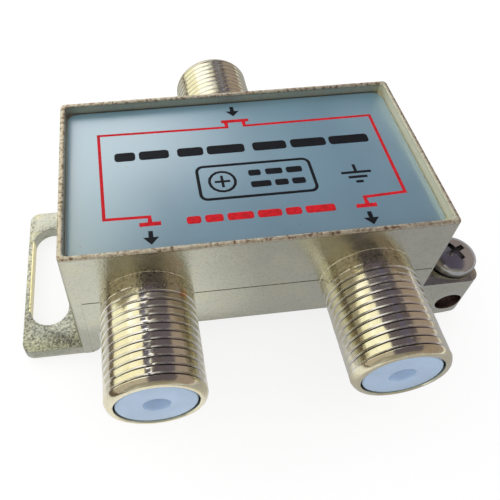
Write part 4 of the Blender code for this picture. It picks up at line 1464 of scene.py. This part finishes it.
def glow(name, stops):
    """A plain glowing surface, its colours given as (x in millimetres, colour)."""
    made = bpy.data.materials.new(name)
    made.use_nodes = True
    tree = made.node_tree
    tree.nodes.remove(tree.nodes["Principled BSDF"])
    place = add(tree, "TexCoord").outputs["Object"]
    along = add(tree, "SeparateXYZ", inputs={0: place}).outputs["X"]
    low = stops[0][0]
    high = stops[-1][0]
    share = map_range(tree, along, low * MM, high * MM)
    tone = ramp(tree, share, [((x - low) / (high - low), tint) for x, tint in stops])
    light = add(tree, "Emission", inputs={"Color": tone})
    feed(tree, tree.nodes["Material Output"].inputs["Surface"], light.outputs[0])
    return made


def card(name, line, sweep, stops):
    """A reflector that only gloss sees: a line of points and its sweep, in millimetres."""
    shape = bmesh.new()
    points = [shape.verts.new(point) for point in line]
    edges = [shape.edges.new(pair) for pair in zip(points, points[1:])]
    grown = bmesh.ops.extrude_edge_only(shape, edges=edges)["geom"]
    bmesh.ops.translate(shape, verts=only(grown, bmesh.types.BMVert), vec=sweep)
    bmesh.ops.scale(shape, vec=(MM, MM, MM), verts=shape.verts)
    mesh = as_mesh(name, shape)
    mesh.materials.append(glow(name, stops))
    made = in_scene(name, mesh)
    for ray in ("camera", "diffuse", "shadow", "transmission", "volume_scatter"):
        setattr(made, f"visible_{ray}", False)


class SPLITTER_OT_stage(bpy.types.Operator):
    """Set up the floor, the lamps, the reflectors, the world and the camera"""

    bl_idname = "splitter.stage"
    bl_label = "Stage"

    def execute(self, context):
        context.scene.view_settings.view_transform = "Standard"
        sky()
        floor()
        lamp("window", (-0.46, 0.40, 0.24), 2.1, 0.75)
        lamp("top", (0.15, -0.15, 0.75), 0.45, 0.7)
        for name, section, low, high, stops in CARDS:
            card(name, [(x, low, z) for x, z in section], (0, high - low, 0), stops)
        card("front_wall", ((-170, -260, 144), (190, -260, 144)), (0, 0, -142),
             ((-170, (0.5, 0.5, 0.47)), (-60, WALL), (60, WALL), (190, 0.5)))
        camera()
        return {"FINISHED"}


class SPLITTER_PT_panel(bpy.types.Panel):
    """The splitter's pieces and settings"""

    bl_label = "Coaxial splitter"
    bl_idname = "SPLITTER_PT_panel"
    bl_space_type = "VIEW_3D"
    bl_region_type = "UI"
    bl_category = "Splitter"

    def draw(self, context):
        for operator in OPERATORS:
            self.layout.operator(operator.bl_idname)
        for group in GROUPS.values():
            values = getattr(context.scene, group)
            box = self.layout.box()
            for key in values.__annotations__:
                box.prop(values, key)


OPERATORS = (
    SPLITTER_OT_casting,
    SPLITTER_OT_sockets,
    SPLITTER_OT_label,
    SPLITTER_OT_insulators,
    SPLITTER_OT_screw,
    SPLITTER_OT_inner,
    SPLITTER_OT_stage,
)
GROUPS = {
    CastingSizes: "splitter_casting",
    SocketSizes: "splitter_socket",
    LabelSizes: "splitter_label",
    ScrewSizes: "splitter_screw",
    Finishes: "splitter_finishes",
}


def register():
    for group, name in GROUPS.items():
        bpy.utils.register_class(group)
        setattr(bpy.types.Scene, name, PointerProperty(type=group))
    for operator in OPERATORS:
        bpy.utils.register_class(operator)
    bpy.utils.register_class(SPLITTER_PT_panel)


def unregister():
    bpy.utils.unregister_class(SPLITTER_PT_panel)
    for operator in reversed(OPERATORS):
        bpy.utils.unregister_class(operator)
    for group, name in GROUPS.items():
        delattr(bpy.types.Scene, name)
        bpy.utils.unregister_class(group)


def main():
    register()
    bpy.ops.splitter.casting()
    bpy.ops.splitter.sockets()
    bpy.ops.splitter.label()
    bpy.ops.splitter.insulators()
    bpy.ops.splitter.screw()
    bpy.ops.splitter.inner()
    bpy.ops.splitter.stage()


if __name__ == "__main__":
    main()
